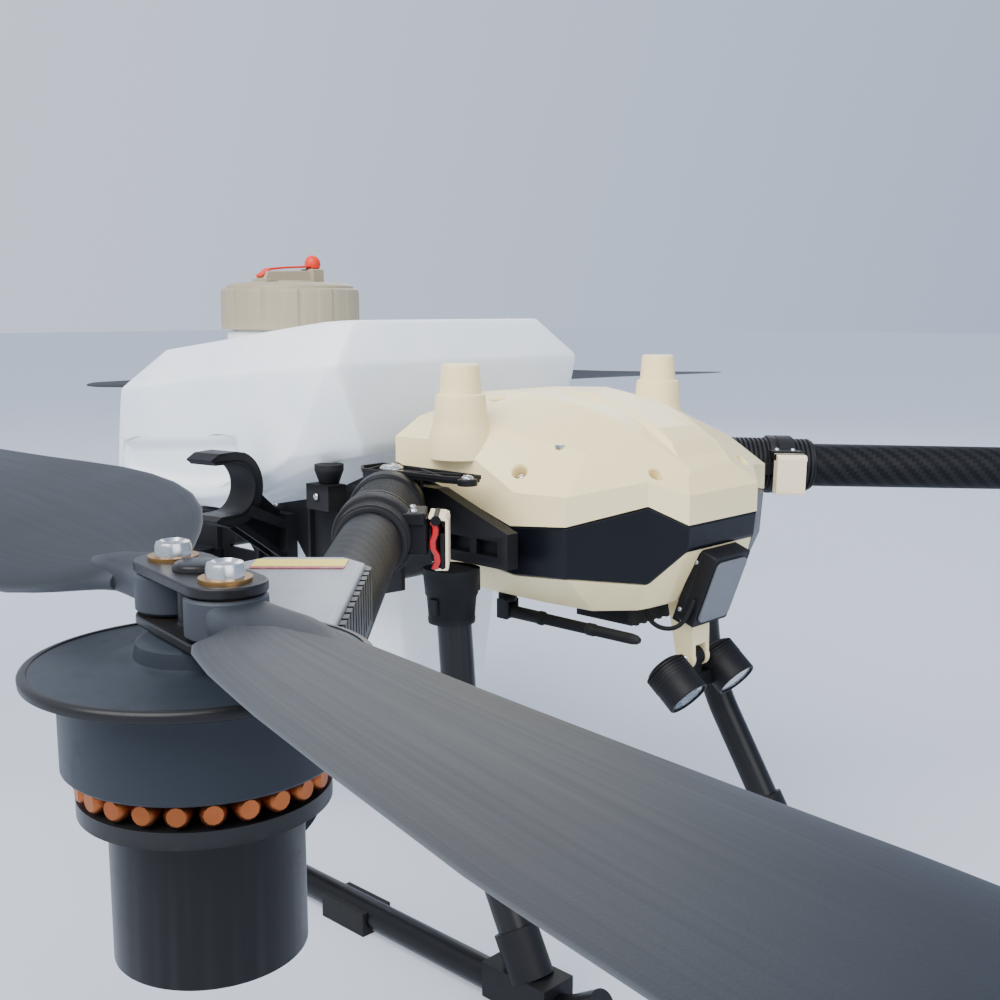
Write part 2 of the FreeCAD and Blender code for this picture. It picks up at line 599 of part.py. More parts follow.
def spray_tank():
    """The hollow tank with its deep sump and open screw neck."""
    def body(wall):
        lift = wall
        upper = stacked([tank_ring([(x, y, z + lift) for x, y, z in TANK_FOOT], wall),
                         tank_ring([(x, y, z + lift * 0.5) for x, y, z in TANK_WAIST], wall),
                         tank_ring([(x, y, z - lift * 0.5) for x, y, z in TANK_EDGE], wall),
                         tank_ring([(x, y, z - lift) for x, y, z in TANK_TOP], wall)])
        sump = stacked([tank_ring([(x, y, z + lift) for x, y, z in SUMP_LOW], wall),
                        tank_ring([(x, y, z + lift) for x, y, z in SUMP_TOP], wall)])
        return upper.fuse(sump)
    seat = 560.0
    neck = rod((0, CAP_Y, seat), (0, CAP_Y, 612), NECK_R + 5)
    collar = rod((0, CAP_Y, seat), (0, CAP_Y, 588), CAP_R - 6)
    bore = rod((0, CAP_Y, seat - 20), (0, CAP_Y, 613), NECK_R)
    outer = body(0.0).fuse(neck).fuse(collar)
    return outer.cut(body(TANK_WALL)).cut(bore)


def tank_cap():
    """The screw cap: a gripped ring with a closed top and a raised handle bar."""
    ring = rod((0, CAP_Y, 590), (0, CAP_Y, 640), CAP_R)
    hollow = rod((0, CAP_Y, 589), (0, CAP_Y, 618), NECK_R + 5 + GAP)
    grooves = []
    for i in range(24):
        turn = math.radians(15 * i)
        x, y = (CAP_R + 1) * math.cos(turn), CAP_Y + (CAP_R + 1) * math.sin(turn)
        grooves.append(rod((x, y, 597), (x, y, 634), 3))
    crown = taper((0, CAP_Y, 640), (0, CAP_Y, 648), CAP_R - 4, CAP_R - 14)
    bar = prism([(-52, CAP_Y - 13, 646), (52, CAP_Y - 13, 646), (40, CAP_Y - 13, 665), (-40, CAP_Y - 13, 665)],
                (0, 26, 0))
    return fused([ring.cut(hollow).cut(fused(grooves)), crown, bar])


def cap_strap():
    """The bright retaining strap over the handle bar, with its pull knob."""
    strap = prism([(-46, CAP_Y - 8, 665 + GAP), (30, CAP_Y - 8, 665 + GAP), (30, CAP_Y - 8, 668), (-46, CAP_Y - 8, 668)],
                  (0, 16, 0))
    knob = fused([rod((34, CAP_Y, 665.3), (34, CAP_Y, 676), 9), Part.makeSphere(9, V(34, CAP_Y, 674))])
    return fused([strap, knob.cut(block(0, 80, CAP_Y - 20, CAP_Y + 20, 640, 665 + GAP))])


# nose equipment
RADAR = {"y": -447.0, "z": 358.0, "tilt": 20.0}


def radar_piece(shape):
    """A radar piece, modelled facing -Y about its centre, tipped so that its foot stands forward."""
    moved = shape.copy()
    moved.rotate(V(0, 0, 0), V(1, 0, 0), RADAR["tilt"])
    moved.translate(V(0, RADAR["y"], RADAR["z"]))
    return moved


def radar_module():
    """The radar's sealed case with its slightly proud front window."""
    case = centred(0, 5, 0, 58, 18, 74)
    window = centred(0, -5, 0, 52, 6, 68)
    return radar_piece(fused([case, window]))


LAMP_Y, LAMP_Z = -420.0, 286.0


def radar_bracket():
    """The bracket leg under the belly pan with cheeks that hold the radar and a hinge for the lamps."""
    rear_plate = radar_piece(centred(0, 17, 2, 50, 6, 66))
    leg = prism([(-14, -399, 341.5), (-14, -399, 360), (-14, -428, 352), (-14, LAMP_Y - 9, LAMP_Z),
                 (-14, LAMP_Y + 9, LAMP_Z)], (28, 0, 0))
    slot = block(-8.2, 8.2, LAMP_Y - 20, LAMP_Y + 20, LAMP_Z - 14, LAMP_Z + 14)
    eyes = [rod((s * 8.5, LAMP_Y, LAMP_Z), (s * 14, LAMP_Y, LAMP_Z), 10) for s in (-1, 1)]
    hole = rod((-20, LAMP_Y, LAMP_Z), (20, LAMP_Y, LAMP_Z), 2.5)
    return fused([fused([rear_plate, leg]).cut(slot)] + eyes).cut(hole)


def lamp_housing():
    """Two lamp barrels on a yoke that tilts about a cross pin."""
    pin = rod((-16, LAMP_Y, LAMP_Z), (16, LAMP_Y, LAMP_Z), 2.5 - PIN_CLEARANCE)
    tongue = fused([rod((-8, LAMP_Y, LAMP_Z), (8, LAMP_Y, LAMP_Z), 10), block(-8, 8, LAMP_Y - 6, LAMP_Y + 6, 262, LAMP_Z)])
    yoke = centred(0, LAMP_Y - 2, 262, 56, 18, 14)
    aim = V(0, -0.45, -0.9).normalize()
    barrels = []
    for s in (-1, 1):
        start = V(s * 40, LAMP_Y + 6, 284)
        barrel = rod(start, start + aim * 40, 21)
        barrels.append(barrel.cut(rod(start + aim * 26, start + aim * 41, 18)))
    whole = fused([pin, tongue, yoke] + barrels)
    return whole


def lamp_lenses():
    """The two clear lenses sunk into the lamp barrels."""
    aim = V(0, -0.45, -0.9).normalize()
    lenses = []
    for s in (-1, 1):
        start = V(s * 40, LAMP_Y + 6, 284)
        lenses.append(rod(start + aim * 34, start + aim * 37, 17.9))
    return lenses


ANTENNA = {"x": -110.0, "y": -280.0, "z": 327.0}


def antenna_base():
    """The antenna's upright stub under the band, ending in a knuckle fork."""
    x, y, z = ANTENNA["x"], ANTENNA["y"], ANTENNA["z"]
    stub = rod((x, y, z + 12), (x, y, z + 30), 8)
    ring = rod((x, y, z + 20), (x, y, z + 24), 9.5)
    ears = [block(x + s * 5.2, x + s * 9, y - 8, y + 8, z - 7, z + 14) for s in (-1, 1)]
    cap = block(x - 9, x + 9, y - 8, y + 8, z + 10, z + 14)
    return fused([stub, ring, cap] + ears).cut(rod((x - 12, y, z), (x + 12, y, z), 2))


def antenna_rod():
    """The whip: a thick sleeve at the knuckle and a long slim rod that folds level."""
    x, y, z = ANTENNA["x"], ANTENNA["y"], ANTENNA["z"]
    pin = rod((x - 9, y, z), (x + 9, y, z), 2 - PIN_CLEARANCE)
    knuckle = rod((x - 5, y, z), (x + 5, y, z), 7)
    sleeve = rod((x, y, z), (x, y - 46, z), 5)
    whip = rod((x, y - 44, z), (x, y - 144, z), 4)
    tip = Part.makeSphere(4, V(x, y - 144, z))
    whole = fused([pin, knuckle, sleeve, whip, tip])
    return whole


CABLE_R = 2.2
CABLE_ROUTE = [(-48, -398, 341), (-50, -402, 330), (-46, -414, 321), (-38, -428, 322), (-32, -437, 336), (-29.2, -440, 350)]


def radar_cable():
    """The short cable that loops out of the belly pan and back up into the radar's case."""
    path, radii = bent_path(CABLE_ROUTE)
    print("radar_cable radii", [round(r, 1) for r in radii], "length", round(path.Length, 1))
    return bent_rod(CABLE_ROUTE, CABLE_R)


def cover_screws():
    """The screws that hold the upper nose cover down at its flanks."""
    places = ((-132, -222, 508), (-118, -352, 488))
    return both_sides([fused([rod((x, y, z - 12), (x, y, z + 3), 2.5), rod((x, y, z + 2.5), (x, y, z + 6), 5)])
                       for x, y, z in places])


def model():
    """Every node's name and its solids."""
    nodes = {
        "nose_top_cover": nose_top_cover(),
        "nose_mid_band": nose_mid_band(),
        "nose_lower_shell": nose_lower_shell(),
        "flight_electronics": flight_electronics(),
        "side_plates": side_plates(),
        "cross_beams": cross_beams(),
        "hinge_brackets": [hinge_bracket(a, s) for a in (FRONT, REAR) for s in (RIGHT, LEFT)],
        "fasteners": [hinge_pin(a, s) for a in (FRONT, REAR) for s in (RIGHT, LEFT)] + cover_screws(),
        "leg_sockets": both_sides([leg_socket(-1), leg_socket(1)]),
        "landing_legs": both_sides([landing_leg(-1), landing_leg(1)]),
        "leg_feet": both_sides([leg_foot(-1), leg_foot(1)]),
        "skid_tubes": both_sides([skid_tube()]),
        "skid_pads": both_sides([skid_pad(-PAD_Y), skid_pad(PAD_Y)]),
        "arm_hook_right": arm_hook(),
        "arm_hook_left": mirrored(arm_hook()),
        "tank_seats": both_sides([tank_seat()]),
        "rear_housing": rear_housing(),
        "pumps": pumps(),
        "liquid_hoses": [liquid_hose(RIGHT), liquid_hose(LEFT)],
        "radar_bracket": radar_bracket(),
        "radar_module": radar_module(),
        "radar_cable": radar_cable(),
        "antenna_base": antenna_base(),
        "antenna_rod": antenna_rod(),
        "lamp_housing": lamp_housing(),
        "lamp_lenses": lamp_lenses(),
        "spray_tank": spray_tank(),
        "tank_cap": tank_cap(),
        "cap_strap": cap_strap(),
        "battery_pack": battery_pack(),
    }
    for arm in (FRONT, REAR):
        for side, word in ((RIGHT, "right"), (LEFT, "left")):
            prefix = arm["name"] + "_" + word + "_"
            nodes[prefix + "arm_root"] = arm_root(arm, side)
            nodes[prefix + "arm_tube"] = arm_tube(arm, side)
            nodes[prefix + "motor_pod"] = motor_pod(arm, side)
            nodes[prefix + "rotor"] = rotor(arm, side)
            nodes[prefix + "blade_a"] = blade(arm, side, 0)
            nodes[prefix + "blade_b"] = blade(arm, side, 1)
            if arm is FRONT:
                nodes[prefix + "latch"] = latch(arm, side)
            else:
                nodes[prefix + "nozzle"] = nozzle(side)
                nodes[prefix + "nozzle_disc"] = nozzle_disc(side)
    return nodes


def main():
    os.makedirs("parts", exist_ok=True)
    for name, shape in model().items():
        solids = shape if isinstance(shape, list) else shape.Solids
        whole = solids[0] if len(solids) == 1 else Part.makeCompound(solids)
        bad = [s for s in solids if not s.isValid() or s.Volume <= 0]
        print(name, len(solids), "solids", round(sum(s.Volume for s in solids) / 1000.0, 1), "cm3",
              "INVALID" if bad else "")
        whole.exportStep("parts/" + name + ".step")


if __name__ == "__main__":
    main()
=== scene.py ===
"""Looks for the agricultural spray drone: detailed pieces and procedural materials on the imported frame."""
import json
import math

import bmesh
import bpy
from mathutils import Matrix, Vector
from mathutils.bvhtree import BVHTree


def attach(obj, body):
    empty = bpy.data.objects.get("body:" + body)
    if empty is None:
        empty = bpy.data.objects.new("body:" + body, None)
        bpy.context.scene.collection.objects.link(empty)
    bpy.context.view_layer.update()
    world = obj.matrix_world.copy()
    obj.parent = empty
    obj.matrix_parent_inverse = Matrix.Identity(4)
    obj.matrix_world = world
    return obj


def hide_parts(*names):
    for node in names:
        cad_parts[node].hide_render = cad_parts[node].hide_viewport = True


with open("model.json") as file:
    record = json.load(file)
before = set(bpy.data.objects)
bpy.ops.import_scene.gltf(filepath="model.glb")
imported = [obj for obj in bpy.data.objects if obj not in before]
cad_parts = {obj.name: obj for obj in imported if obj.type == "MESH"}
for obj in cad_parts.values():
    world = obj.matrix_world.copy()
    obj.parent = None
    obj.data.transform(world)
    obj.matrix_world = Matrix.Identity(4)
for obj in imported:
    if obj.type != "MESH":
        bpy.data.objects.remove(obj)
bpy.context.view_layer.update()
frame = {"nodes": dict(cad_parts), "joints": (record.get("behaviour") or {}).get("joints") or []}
JOINTS = {j["name"]: j for j in frame["joints"]}
MM = 0.001
UP = Vector((0, 0, 1))
FULL_TURN = 2 * math.pi

# ---------------------------------------------------------------- camera
CAMERA_AT = Vector((-0.9469, -1.0667, 0.6148))
CAMERA_TARGET = Vector((0.0, -0.165, 0.410))
LENS_MM = 43.9


def add_object(name, data):
    """A new object in the scene."""
    obj = bpy.data.objects.new(name, data)
    bpy.context.scene.collection.objects.link(obj)
    return obj


def make_camera():
    """The camera that frames the object from its front right corner."""
    data = bpy.data.cameras.new("camera")
    data.lens = LENS_MM
    data.sensor_width = 36
    data.clip_start = 0.02
    camera = add_object("camera", data)
    camera.location = CAMERA_AT
    camera.rotation_euler = (CAMERA_TARGET - CAMERA_AT).to_track_quat("-Z", "Y").to_euler()
    bpy.context.scene.camera = camera


make_camera()


# ---------------------------------------------------------------- materials
class Nodes:
    """A short way to build a node material."""

    def __init__(self, name):
        self.material = bpy.data.materials.new(name)
        self.material.use_nodes = True
        self.tree = self.material.node_tree
        self.shader = self.tree.nodes["Principled BSDF"]
        self.coords = self.add("ShaderNodeTexCoord")

    def add(self, kind, **settings):
        node = self.tree.nodes.new(kind)
        for key, value in settings.items():
            if key in node.inputs:
                node.inputs[key].default_value = value
            else:
                setattr(node, key, value)
        return node

    def link(self, a, b):
        self.tree.links.new(a, b)

    def set(self, **values):
        for key, value in values.items():
            self.shader.inputs[key.replace("_", " ")].default_value = value

    def noise(self, scale, detail=3.0, rough=0.5):
        node = self.add("ShaderNodeTexNoise", Scale=scale, Detail=detail, Roughness=rough)
        self.link(self.coords.outputs["Object"], node.inputs["Vector"])
        return node.outputs["Fac"]

    def ramp(self, value, low, high, start=0.0, end=1.0):
        """A colour ramp from low to high over part of the value's range."""
        node = self.add("ShaderNodeValToRGB")
        node.color_ramp.elements[0].position = start
        node.color_ramp.elements[1].position = end
        node.color_ramp.elements[0].color = low
        node.color_ramp.elements[1].color = high
        self.link(value, node.inputs["Fac"])
        return node.outputs["Color"]

    def scale(self, value, low, high, start=0.0, end=1.0):
        node = self.add("ShaderNodeMapRange")
        for key, number in zip(("From Min", "From Max", "To Min", "To Max"), (start, end, low, high)):
            node.inputs[key].default_value = number
        self.link(value, node.inputs["Value"])
        return node.outputs["Result"]

    def math(self, operation, a, b=None):
        node = self.add("ShaderNodeMath", operation=operation)
        for socket, value in zip(node.inputs, (a, b)):
            if value is None:
                continue
            if isinstance(value, (int, float)):
                socket.default_value = value
            else:
                self.link(value, socket)
        return node.outputs[0]

    def mix(self, factor, a, b):
        node = self.add("ShaderNodeMix", data_type="RGBA")
        for socket, value in ((node.inputs[0], factor), (node.inputs[6], a), (node.inputs[7], b)):
            if isinstance(value, (int, float, tuple)):
                socket.default_value = value
            else:
                self.link(value, socket)
        return node.outputs[2]

    def colour(self, value):
        self.link(value, self.shader.inputs["Base Color"])

    def roughness(self, value):
        self.link(value, self.shader.inputs["Roughness"])

    def bump(self, height, strength, distance):
        node = self.add("ShaderNodeBump", Strength=strength, Distance=distance)
        self.link(height, node.inputs["Height"])
        self.link(node.outputs["Normal"], self.shader.inputs["Normal"])

    def edges(self, start=0.51, end=0.58):
        """Pale rubbed edges, from how sharply the surface turns."""
        geometry = self.add("ShaderNodeNewGeometry")
        return self.scale(geometry.outputs["Pointiness"], 0.0, 1.0, start, end)


def rgb(r, g, b):
    """A display colour, 0 to 255, as the linear colour a shader takes."""
    def linear(c):
        c /= 255.0
        return c / 12.92 if c <= 0.04045 else ((c + 0.055) / 1.055) ** 2.4
    return (linear(r), linear(g), linear(b), 1.0)


def shade(color, factor):
    return (color[0] * factor, color[1] * factor, color[2] * factor, 1.0)


def moulded(name, color, rough, grain_mm, grain, wear=0.35, mottling=0.06, coat=0.0):
    """Moulded plastic: fine spark-eroded grain, slow colour drift and edges rubbed paler."""
    n = Nodes(name)
    drift = n.noise(9.0, 4.0)
    base = n.ramp(drift, shade(color, 1.0 - mottling), shade(color, 1.0 + mottling), 0.3, 0.7)
    fine = n.noise(1.0 / (grain_mm * MM), 2.0)
    scuffs = n.noise(60.0, 6.0, rough=0.7)
    patches = n.scale(scuffs, 0.0, 1.0, 0.52, 0.72)
    rubbed = n.math("MULTIPLY", n.edges(), wear)
    paler = tuple(min(1.0, c * 1.9 + 0.05) for c in color[:3]) + (1.0,)
    base = n.mix(rubbed, base, paler)
    n.colour(base)
    n.roughness(n.math("ADD", n.math("MULTIPLY", patches, 0.12), rough))
    n.bump(n.math("ADD", fine, n.math("MULTIPLY", scuffs, 0.25)), grain, grain_mm * MM * 0.6)
    n.set(Coat_Weight=coat, Coat_Roughness=0.25, Specular_IOR_Level=0.18 if max(color[:3]) < 0.05 else 0.4)
    return n.material


def metal(name, color, rough, brush=0.15):
    """Turned or brushed metal with fine streaks and slight tarnish."""
    n = Nodes(name)
    streaks = n.noise(900.0, 2.0)
    tarnish = n.noise(40.0, 5.0)
    n.colour(n.ramp(tarnish, shade(color, 0.72), color, 0.35, 0.6))
    n.roughness(n.scale(streaks, rough - 0.06, rough + 0.1))
    n.bump(streaks, brush, 0.0001)
    n.set(Metallic=1.0)
    return n.material


def carbon_weave(name):
    """A 2 by 2 twill of carbon tows under a satin clear coat, on a tube unwrapped as UV in tow widths."""
    n = Nodes(name)
    split = n.add("ShaderNodeSeparateXYZ")
    n.link(n.coords.outputs["UV"], split.inputs[0])
    across, along = split.outputs["X"], split.outputs["Y"]
    column, row = n.math("FLOOR", across), n.math("FLOOR", along)
    over = n.math("LESS_THAN", n.math("FLOORED_MODULO", n.math("ADD", column, row), 4.0), 2.0)
    fibre_a = n.math("SINE", n.math("MULTIPLY", across, 50.0))
    fibre_b = n.math("SINE", n.math("MULTIPLY", along, 50.0))
    crown_a = n.math("ABSOLUTE", n.math("SINE", n.math("MULTIPLY", across, math.pi)))
    crown_b = n.math("ABSOLUTE", n.math("SINE", n.math("MULTIPLY", along, math.pi)))
    tow = n.mix(over, (0.004, 0.0045, 0.005, 1), (0.013, 0.014, 0.016, 1))
    blotch = n.noise(14.0, 4.0)
    n.colour(n.mix(n.scale(blotch, 0.0, 0.4), tow, (0.006, 0.006, 0.008, 1)))
    height_a = n.math("ADD", crown_a, n.math("MULTIPLY", fibre_a, 0.12))
    height_b = n.math("ADD", crown_b, n.math("MULTIPLY", fibre_b, 0.12))
    height = n.add("ShaderNodeMix", data_type="FLOAT")
    n.link(over, height.inputs[0])
    n.link(height_a, height.inputs[2])
    n.link(height_b, height.inputs[3])
    n.bump(height.outputs[0], 0.22, 0.0002)
    n.roughness(n.scale(blotch, 0.48, 0.64))
    n.set(Coat_Weight=0.03, Coat_Roughness=0.3, Specular_IOR_Level=0.12)
    return n.material


def blow_moulded(name):
    """Translucent white polyethylene: milky, waxy, cloudy where the wall is thicker, with a faint painted
    bluish glow of light.
    """
    n = Nodes(name)
    cloud = n.noise(7.0, 5.0)
    ripple = n.noise(26.0, 3.0)
    fine = n.noise(700.0, 2.0)
    low, high = rgb(226, 234, 240), rgb(244, 247, 250)
    n.colour(n.ramp(cloud, low, high, 0.35, 0.65))
    n.roughness(n.scale(ripple, 0.32, 0.5))
    n.bump(n.math("ADD", n.math("MULTIPLY", fine, 0.05), ripple), 0.10, 0.0016)
    # The emission is painted light: a faint bluish glow on the tank, which is no lamp.
    n.set(Subsurface_Weight=0.55, Subsurface_Radius=(0.03, 0.035, 0.04), Subsurface_Scale=0.6,
        Specular_IOR_Level=0.4, Coat_Weight=0.12, Coat_Roughness=0.3,
        Emission_Color=(0.78, 0.86, 0.95, 1.0), Emission_Strength=0.12)
    return n.material


def blade_skin(name):
    """Matt carbon-filled nylon: faint flow streaks along the blade, a dusty film and paler edges."""
    n = Nodes(name)
    mapping = n.add("ShaderNodeMapping")
    mapping.inputs["Scale"].default_value = (3.0, 90.0, 1.0)
    n.link(n.coords.outputs["UV"], mapping.inputs["Vector"])
    streaks = n.add("ShaderNodeTexNoise", Scale=1.0, Detail=5.0)
    n.link(mapping.outputs[0], streaks.inputs["Vector"])
    dust = n.noise(12.0, 6.0)
    base = n.ramp(dust, rgb(16, 20, 26), rgb(26, 32, 39), 0.3, 0.7)
    base = n.mix(n.scale(streaks.outputs["Fac"], 0.0, 0.14, 0.4, 0.8), base, rgb(42, 48, 55))
    base = n.mix(n.math("MULTIPLY", n.edges(0.53, 0.62), 0.5), base, rgb(96, 102, 110))
    n.colour(base)
    grain = n.noise(1500.0, 2.0)
    n.roughness(n.scale(streaks.outputs["Fac"], 0.42, 0.6))
    n.bump(n.math("ADD", grain, streaks.outputs["Fac"]), 0.12, 0.0003)
    n.set(Specular_IOR_Level=0.3)
    return n.material


def lens_glass(name):
    """Clear glass, slightly smeared."""
    n = Nodes(name)
    smear = n.noise(80.0, 4.0)
    n.roughness(n.scale(smear, 0.02, 0.12))
    n.colour(n.ramp(smear, rgb(225, 232, 238), rgb(245, 248, 250)))
    n.set(Transmission_Weight=0.9, IOR=1.49)
    return n.material


def reflector(name):
    """A faceted bright reflector bowl."""
    n = Nodes(name)
    cells = n.add("ShaderNodeTexVoronoi", Scale=260.0)
    n.link(n.coords.outputs["Object"], cells.inputs["Vector"])
    n.colour(n.ramp(cells.outputs["Distance"], rgb(235, 238, 240), rgb(175, 180, 186)))
    n.bump(cells.outputs["Distance"], 0.6, 0.0006)
    n.roughness(n.scale(cells.outputs["Distance"], 0.12, 0.26))
    n.set(Metallic=1.0)
    return n.material


def warning_band(name):
    """A plain caution strip with no lettering: yellow with a thin red edge, slightly scuffed."""
    n = Nodes(name)
    split = n.add("ShaderNodeSeparateXYZ")
    n.link(n.coords.outputs["UV"], split.inputs[0])
    red = n.math("GREATER_THAN", split.outputs["Y"], 0.78)
    scuff = n.noise(300.0, 5.0)
    base = n.mix(red, rgb(226, 200, 40), rgb(150, 40, 50))
    base = n.mix(n.scale(scuff, 0.0, 0.35, 0.5, 0.8), base, rgb(214, 214, 206))
    n.colour(base)
    n.roughness(n.scale(scuff, 0.3, 0.5))
    return n.material


CREAM = moulded("cream_plastic", rgb(249, 228, 170), 0.34, 0.5, 0.10, wear=0.10, mottling=0.02, coat=0.12)
NAVY = moulded("navy_plastic", rgb(9, 11, 18), 0.34, 0.45, 0.10, wear=0.05, mottling=0.10, coat=0.05)
BLACK = moulded("black_nylon", rgb(14, 14, 17), 0.46, 0.35, 0.30, wear=0.12, mottling=0.12)
SOFT_BLACK = moulded("ribbed_black", rgb(20, 20, 23), 0.5, 0.4, 0.35, wear=0.25, mottling=0.12)
ANODISED = moulded("black_anodised", rgb(13, 13, 15), 0.34, 0.2, 0.12, wear=0.2, mottling=0.10, coat=0.1)
LEG_PAINT = moulded("leg_powder_coat", rgb(11, 11, 13), 0.3, 0.6, 0.2, wear=0.2, mottling=0.08, coat=0.2)
RUBBER = moulded("black_rubber", rgb(15, 15, 16), 0.62, 0.5, 0.4, wear=0.2, mottling=0.15)
MOTOR_TOP = moulded("motor_disc", rgb(33, 39, 46), 0.42, 0.25, 0.12, wear=0.1, mottling=0.08, coat=0.08)
GREY = moulded("pale_grey_plastic", rgb(132, 136, 142), 0.4, 0.4, 0.15, wear=0.1, mottling=0.04)
BEIGE = moulded("cap_polypropylene", rgb(158, 147, 122), 0.45, 0.6, 0.25, wear=0.12, mottling=0.04)
ORANGE = moulded("orange_silicone", rgb(226, 46, 8), 0.42, 0.4, 0.15, wear=0.05, mottling=0.05)
RED = moulded("red_clip", rgb(170, 10, 20), 0.28, 0.4, 0.1, wear=0.1, mottling=0.05, coat=0.3)
LATCH_CREAM = moulded("latch_enamel", rgb(242, 224, 184), 0.3, 0.5, 0.12, wear=0.1, mottling=0.03, coat=0.2)
RADAR_FACE = moulded("radar_window", rgb(106, 110, 115), 0.5, 0.3, 0.2, wear=0.02, mottling=0.03)
BATTERY = moulded("battery_case", rgb(58, 61, 66), 0.45, 0.8, 0.4, wear=0.3, mottling=0.08)
STEEL = metal("bright_steel", rgb(205, 206, 206), 0.24)
BRASS = metal("brass", rgb(196, 150, 92), 0.3)
COPPER = metal("copper_winding", rgb(170, 98, 58), 0.38, 0.5)
CARBON = carbon_weave("carbon_twill")
TANK = blow_moulded("tank_polyethylene")
BLADE = blade_skin("blade_nylon")
GLASS = lens_glass("lamp_glass")
MIRROR = reflector("lamp_reflector")
BAND = warning_band("caution_band")
SLOTS = {CREAM: "cover_cream", NAVY: "band_navy", BLACK: "frame_black", SOFT_BLACK: "frame_black",
    ANODISED: "motor_black", MOTOR_TOP: "motor_black", RUBBER: "rubber_black", GREY: "housing_grey",
    BAND: "housing_grey", BEIGE: "cap_beige", BLADE: "blade", BRASS: "brass", COPPER: "brass",
    CARBON: "carbon_tube", GLASS: "lens_clear", LATCH_CREAM: "latch_cream", MIRROR: "steel", STEEL: "steel",
    ORANGE: "strap_orange", RADAR_FACE: "radar_grey", RED: "clip_red", TANK: "tank_white"}


# ---------------------------------------------------------------- piece builders
def place(v):
    """Millimetres to the metres of the scene."""
    return Vector(v) * MM


def round_edges(obj, width, segments, angle):
    """Rounds the edges that turn by more than an angle, by a width in millimetres."""
    modifier = obj.modifiers.new("edges", "BEVEL")
    modifier.width = width * MM
    modifier.segments = segments
    modifier.limit_method = "ANGLE"
    modifier.angle_limit = math.radians(angle)
    return modifier


def piece(name, bm, body, material, matrix=None, slot=None, smooth=30, bevel=0.0, segments=2, subdivide=0,
        replaces=()):
    """Turns a bmesh in millimetres into a piece: moved by a matrix, edges rounded, riding on a body."""
    if matrix is not None:
        bmesh.ops.transform(bm, matrix=matrix, verts=bm.verts)
        if matrix.determinant() < 0:
            bmesh.ops.reverse_faces(bm, faces=bm.faces)
    bmesh.ops.scale(bm, vec=(MM, MM, MM), verts=bm.verts)
    mesh = bpy.data.meshes.new(name)
    bm.to_mesh(mesh)
    bm.free()
    mesh.materials.append(material)
    obj = add_object(name, mesh)
    for polygon in mesh.polygons:
        polygon.use_smooth = True
    if bevel:
        round_edges(obj, bevel, segments, smooth).harden_normals = True
    if subdivide:
        modifier = obj.modifiers.new("smooth", "SUBSURF")
        modifier.levels = modifier.render_levels = subdivide
    mesh.set_sharp_from_angle(angle=math.radians(smooth))
    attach(obj, body)
    slot or SLOTS[material]
    if replaces:
        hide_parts(*replaces)
    return obj


def new():
    """An empty mesh to build a piece in."""
    return bmesh.new()


def add_box(bm, low, high, chamfer=0.0):
    """A box between two corners, its upright edges cut back by the chamfer."""
    (x0, y0, z0), (x1, y1, z1) = low, high
    c = chamfer
    outline = [(x0 + c, y0), (x1 - c, y0), (x1, y0 + c), (x1, y1 - c), (x1 - c, y1), (x0 + c, y1),
        (x0, y1 - c), (x0, y0 + c)] if c else [(x0, y0), (x1, y0), (x1, y1), (x0, y1)]
    add_prism(bm, [(x, y, z0) for x, y in outline], (0, 0, z1 - z0))


def add_prism(bm, outline, push):
    """An outline pushed along a direction, as a closed form."""
    join_rings(bm, [[bm.verts.new(Vector(p) + Vector(push) * t) for p in outline] for t in (0, 1)])


def add_side_prism(bm, x, outline, wide):
    """An outline of (y, z), pushed along X."""
    add_prism(bm, [(x, y, z) for y, z in outline], (wide, 0, 0))


def ring_frame(axis):
    """Two directions square to an axis."""
    axis = Vector(axis).normalized()
    side = axis.cross(UP)
    if side.length < 1e-4:
        side = Vector((1, 0, 0))
    side.normalize()
    return axis, side, axis.cross(side)


def add_lathe(bm, profile, origin=(0, 0, 0), axis=(0, 0, 1), steps=48, closed=False, tow=0.0):
    """A profile of (distance along, radius) turned about an axis; ends at radius 0 close to a point."""
    axis, u, v = ring_frame(axis)
    origin = Vector(origin)
    rings = []
    for along, radius in profile:
        centre = origin + axis * along
        if radius < 1e-6:
            rings.append([bm.verts.new(centre)])
            continue
        rings.append(circle(bm, centre, u, v, radius, steps))
    pairs = list(zip(rings, rings[1:])) + ([(rings[-1], rings[0])] if closed else [])
    faces = []
    for low, high in pairs:
        for i in range(steps):
            j = (i + 1) % steps
            if len(low) == 1:
                faces.append(bm.faces.new((low[0], high[i], high[j])))
            elif len(high) == 1:
                faces.append(bm.faces.new((low[i], high[0], low[j])))
            else:
                faces.append(bm.faces.new((low[i], high[i], high[j], low[j])))
    bmesh.ops.recalc_face_normals(bm, faces=faces)
    if tow:
        unwrap_tube(bm, faces, origin, axis, u, v, tow)


def circle(bm, centre, u, v, radius, steps):
    """A ring of points about a centre, in the plane of two directions."""
    turns = [FULL_TURN * i / steps for i in range(steps)]
    return [bm.verts.new(centre + (u * math.cos(turn) + v * math.sin(turn)) * radius) for turn in turns]


def wall(bm, rings):
    """Faces between successive rings with the same number of points."""
    count = len(rings[0])
    return [bm.faces.new((low[i], low[(i + 1) % count], high[(i + 1) % count], high[i]))
        for low, high in zip(rings, rings[1:]) for i in range(count)]


def join_rings(bm, rings):
    """A closed form through successive rings with the same number of points."""
    faces = wall(bm, rings) + [bm.faces.new(rings[-1]), bm.faces.new(rings[0][::-1])]
    bmesh.ops.recalc_face_normals(bm, faces=faces)


def add_squared_loft(bm, sections, u, v, steps):
    """A form through rings of (centre, half width, half height, power); power 1 is round, less is squarer."""
    turns = [FULL_TURN * i / steps for i in range(steps)]
    rings = []
    for centre, wide, tall, power in sections:
        points = [[math.copysign(abs(c) ** power, c) for c in (math.cos(t), math.sin(t))] for t in turns]
        rings.append([bm.verts.new(centre + u * wide * c + v * tall * s) for c, s in points])
    join_rings(bm, rings)


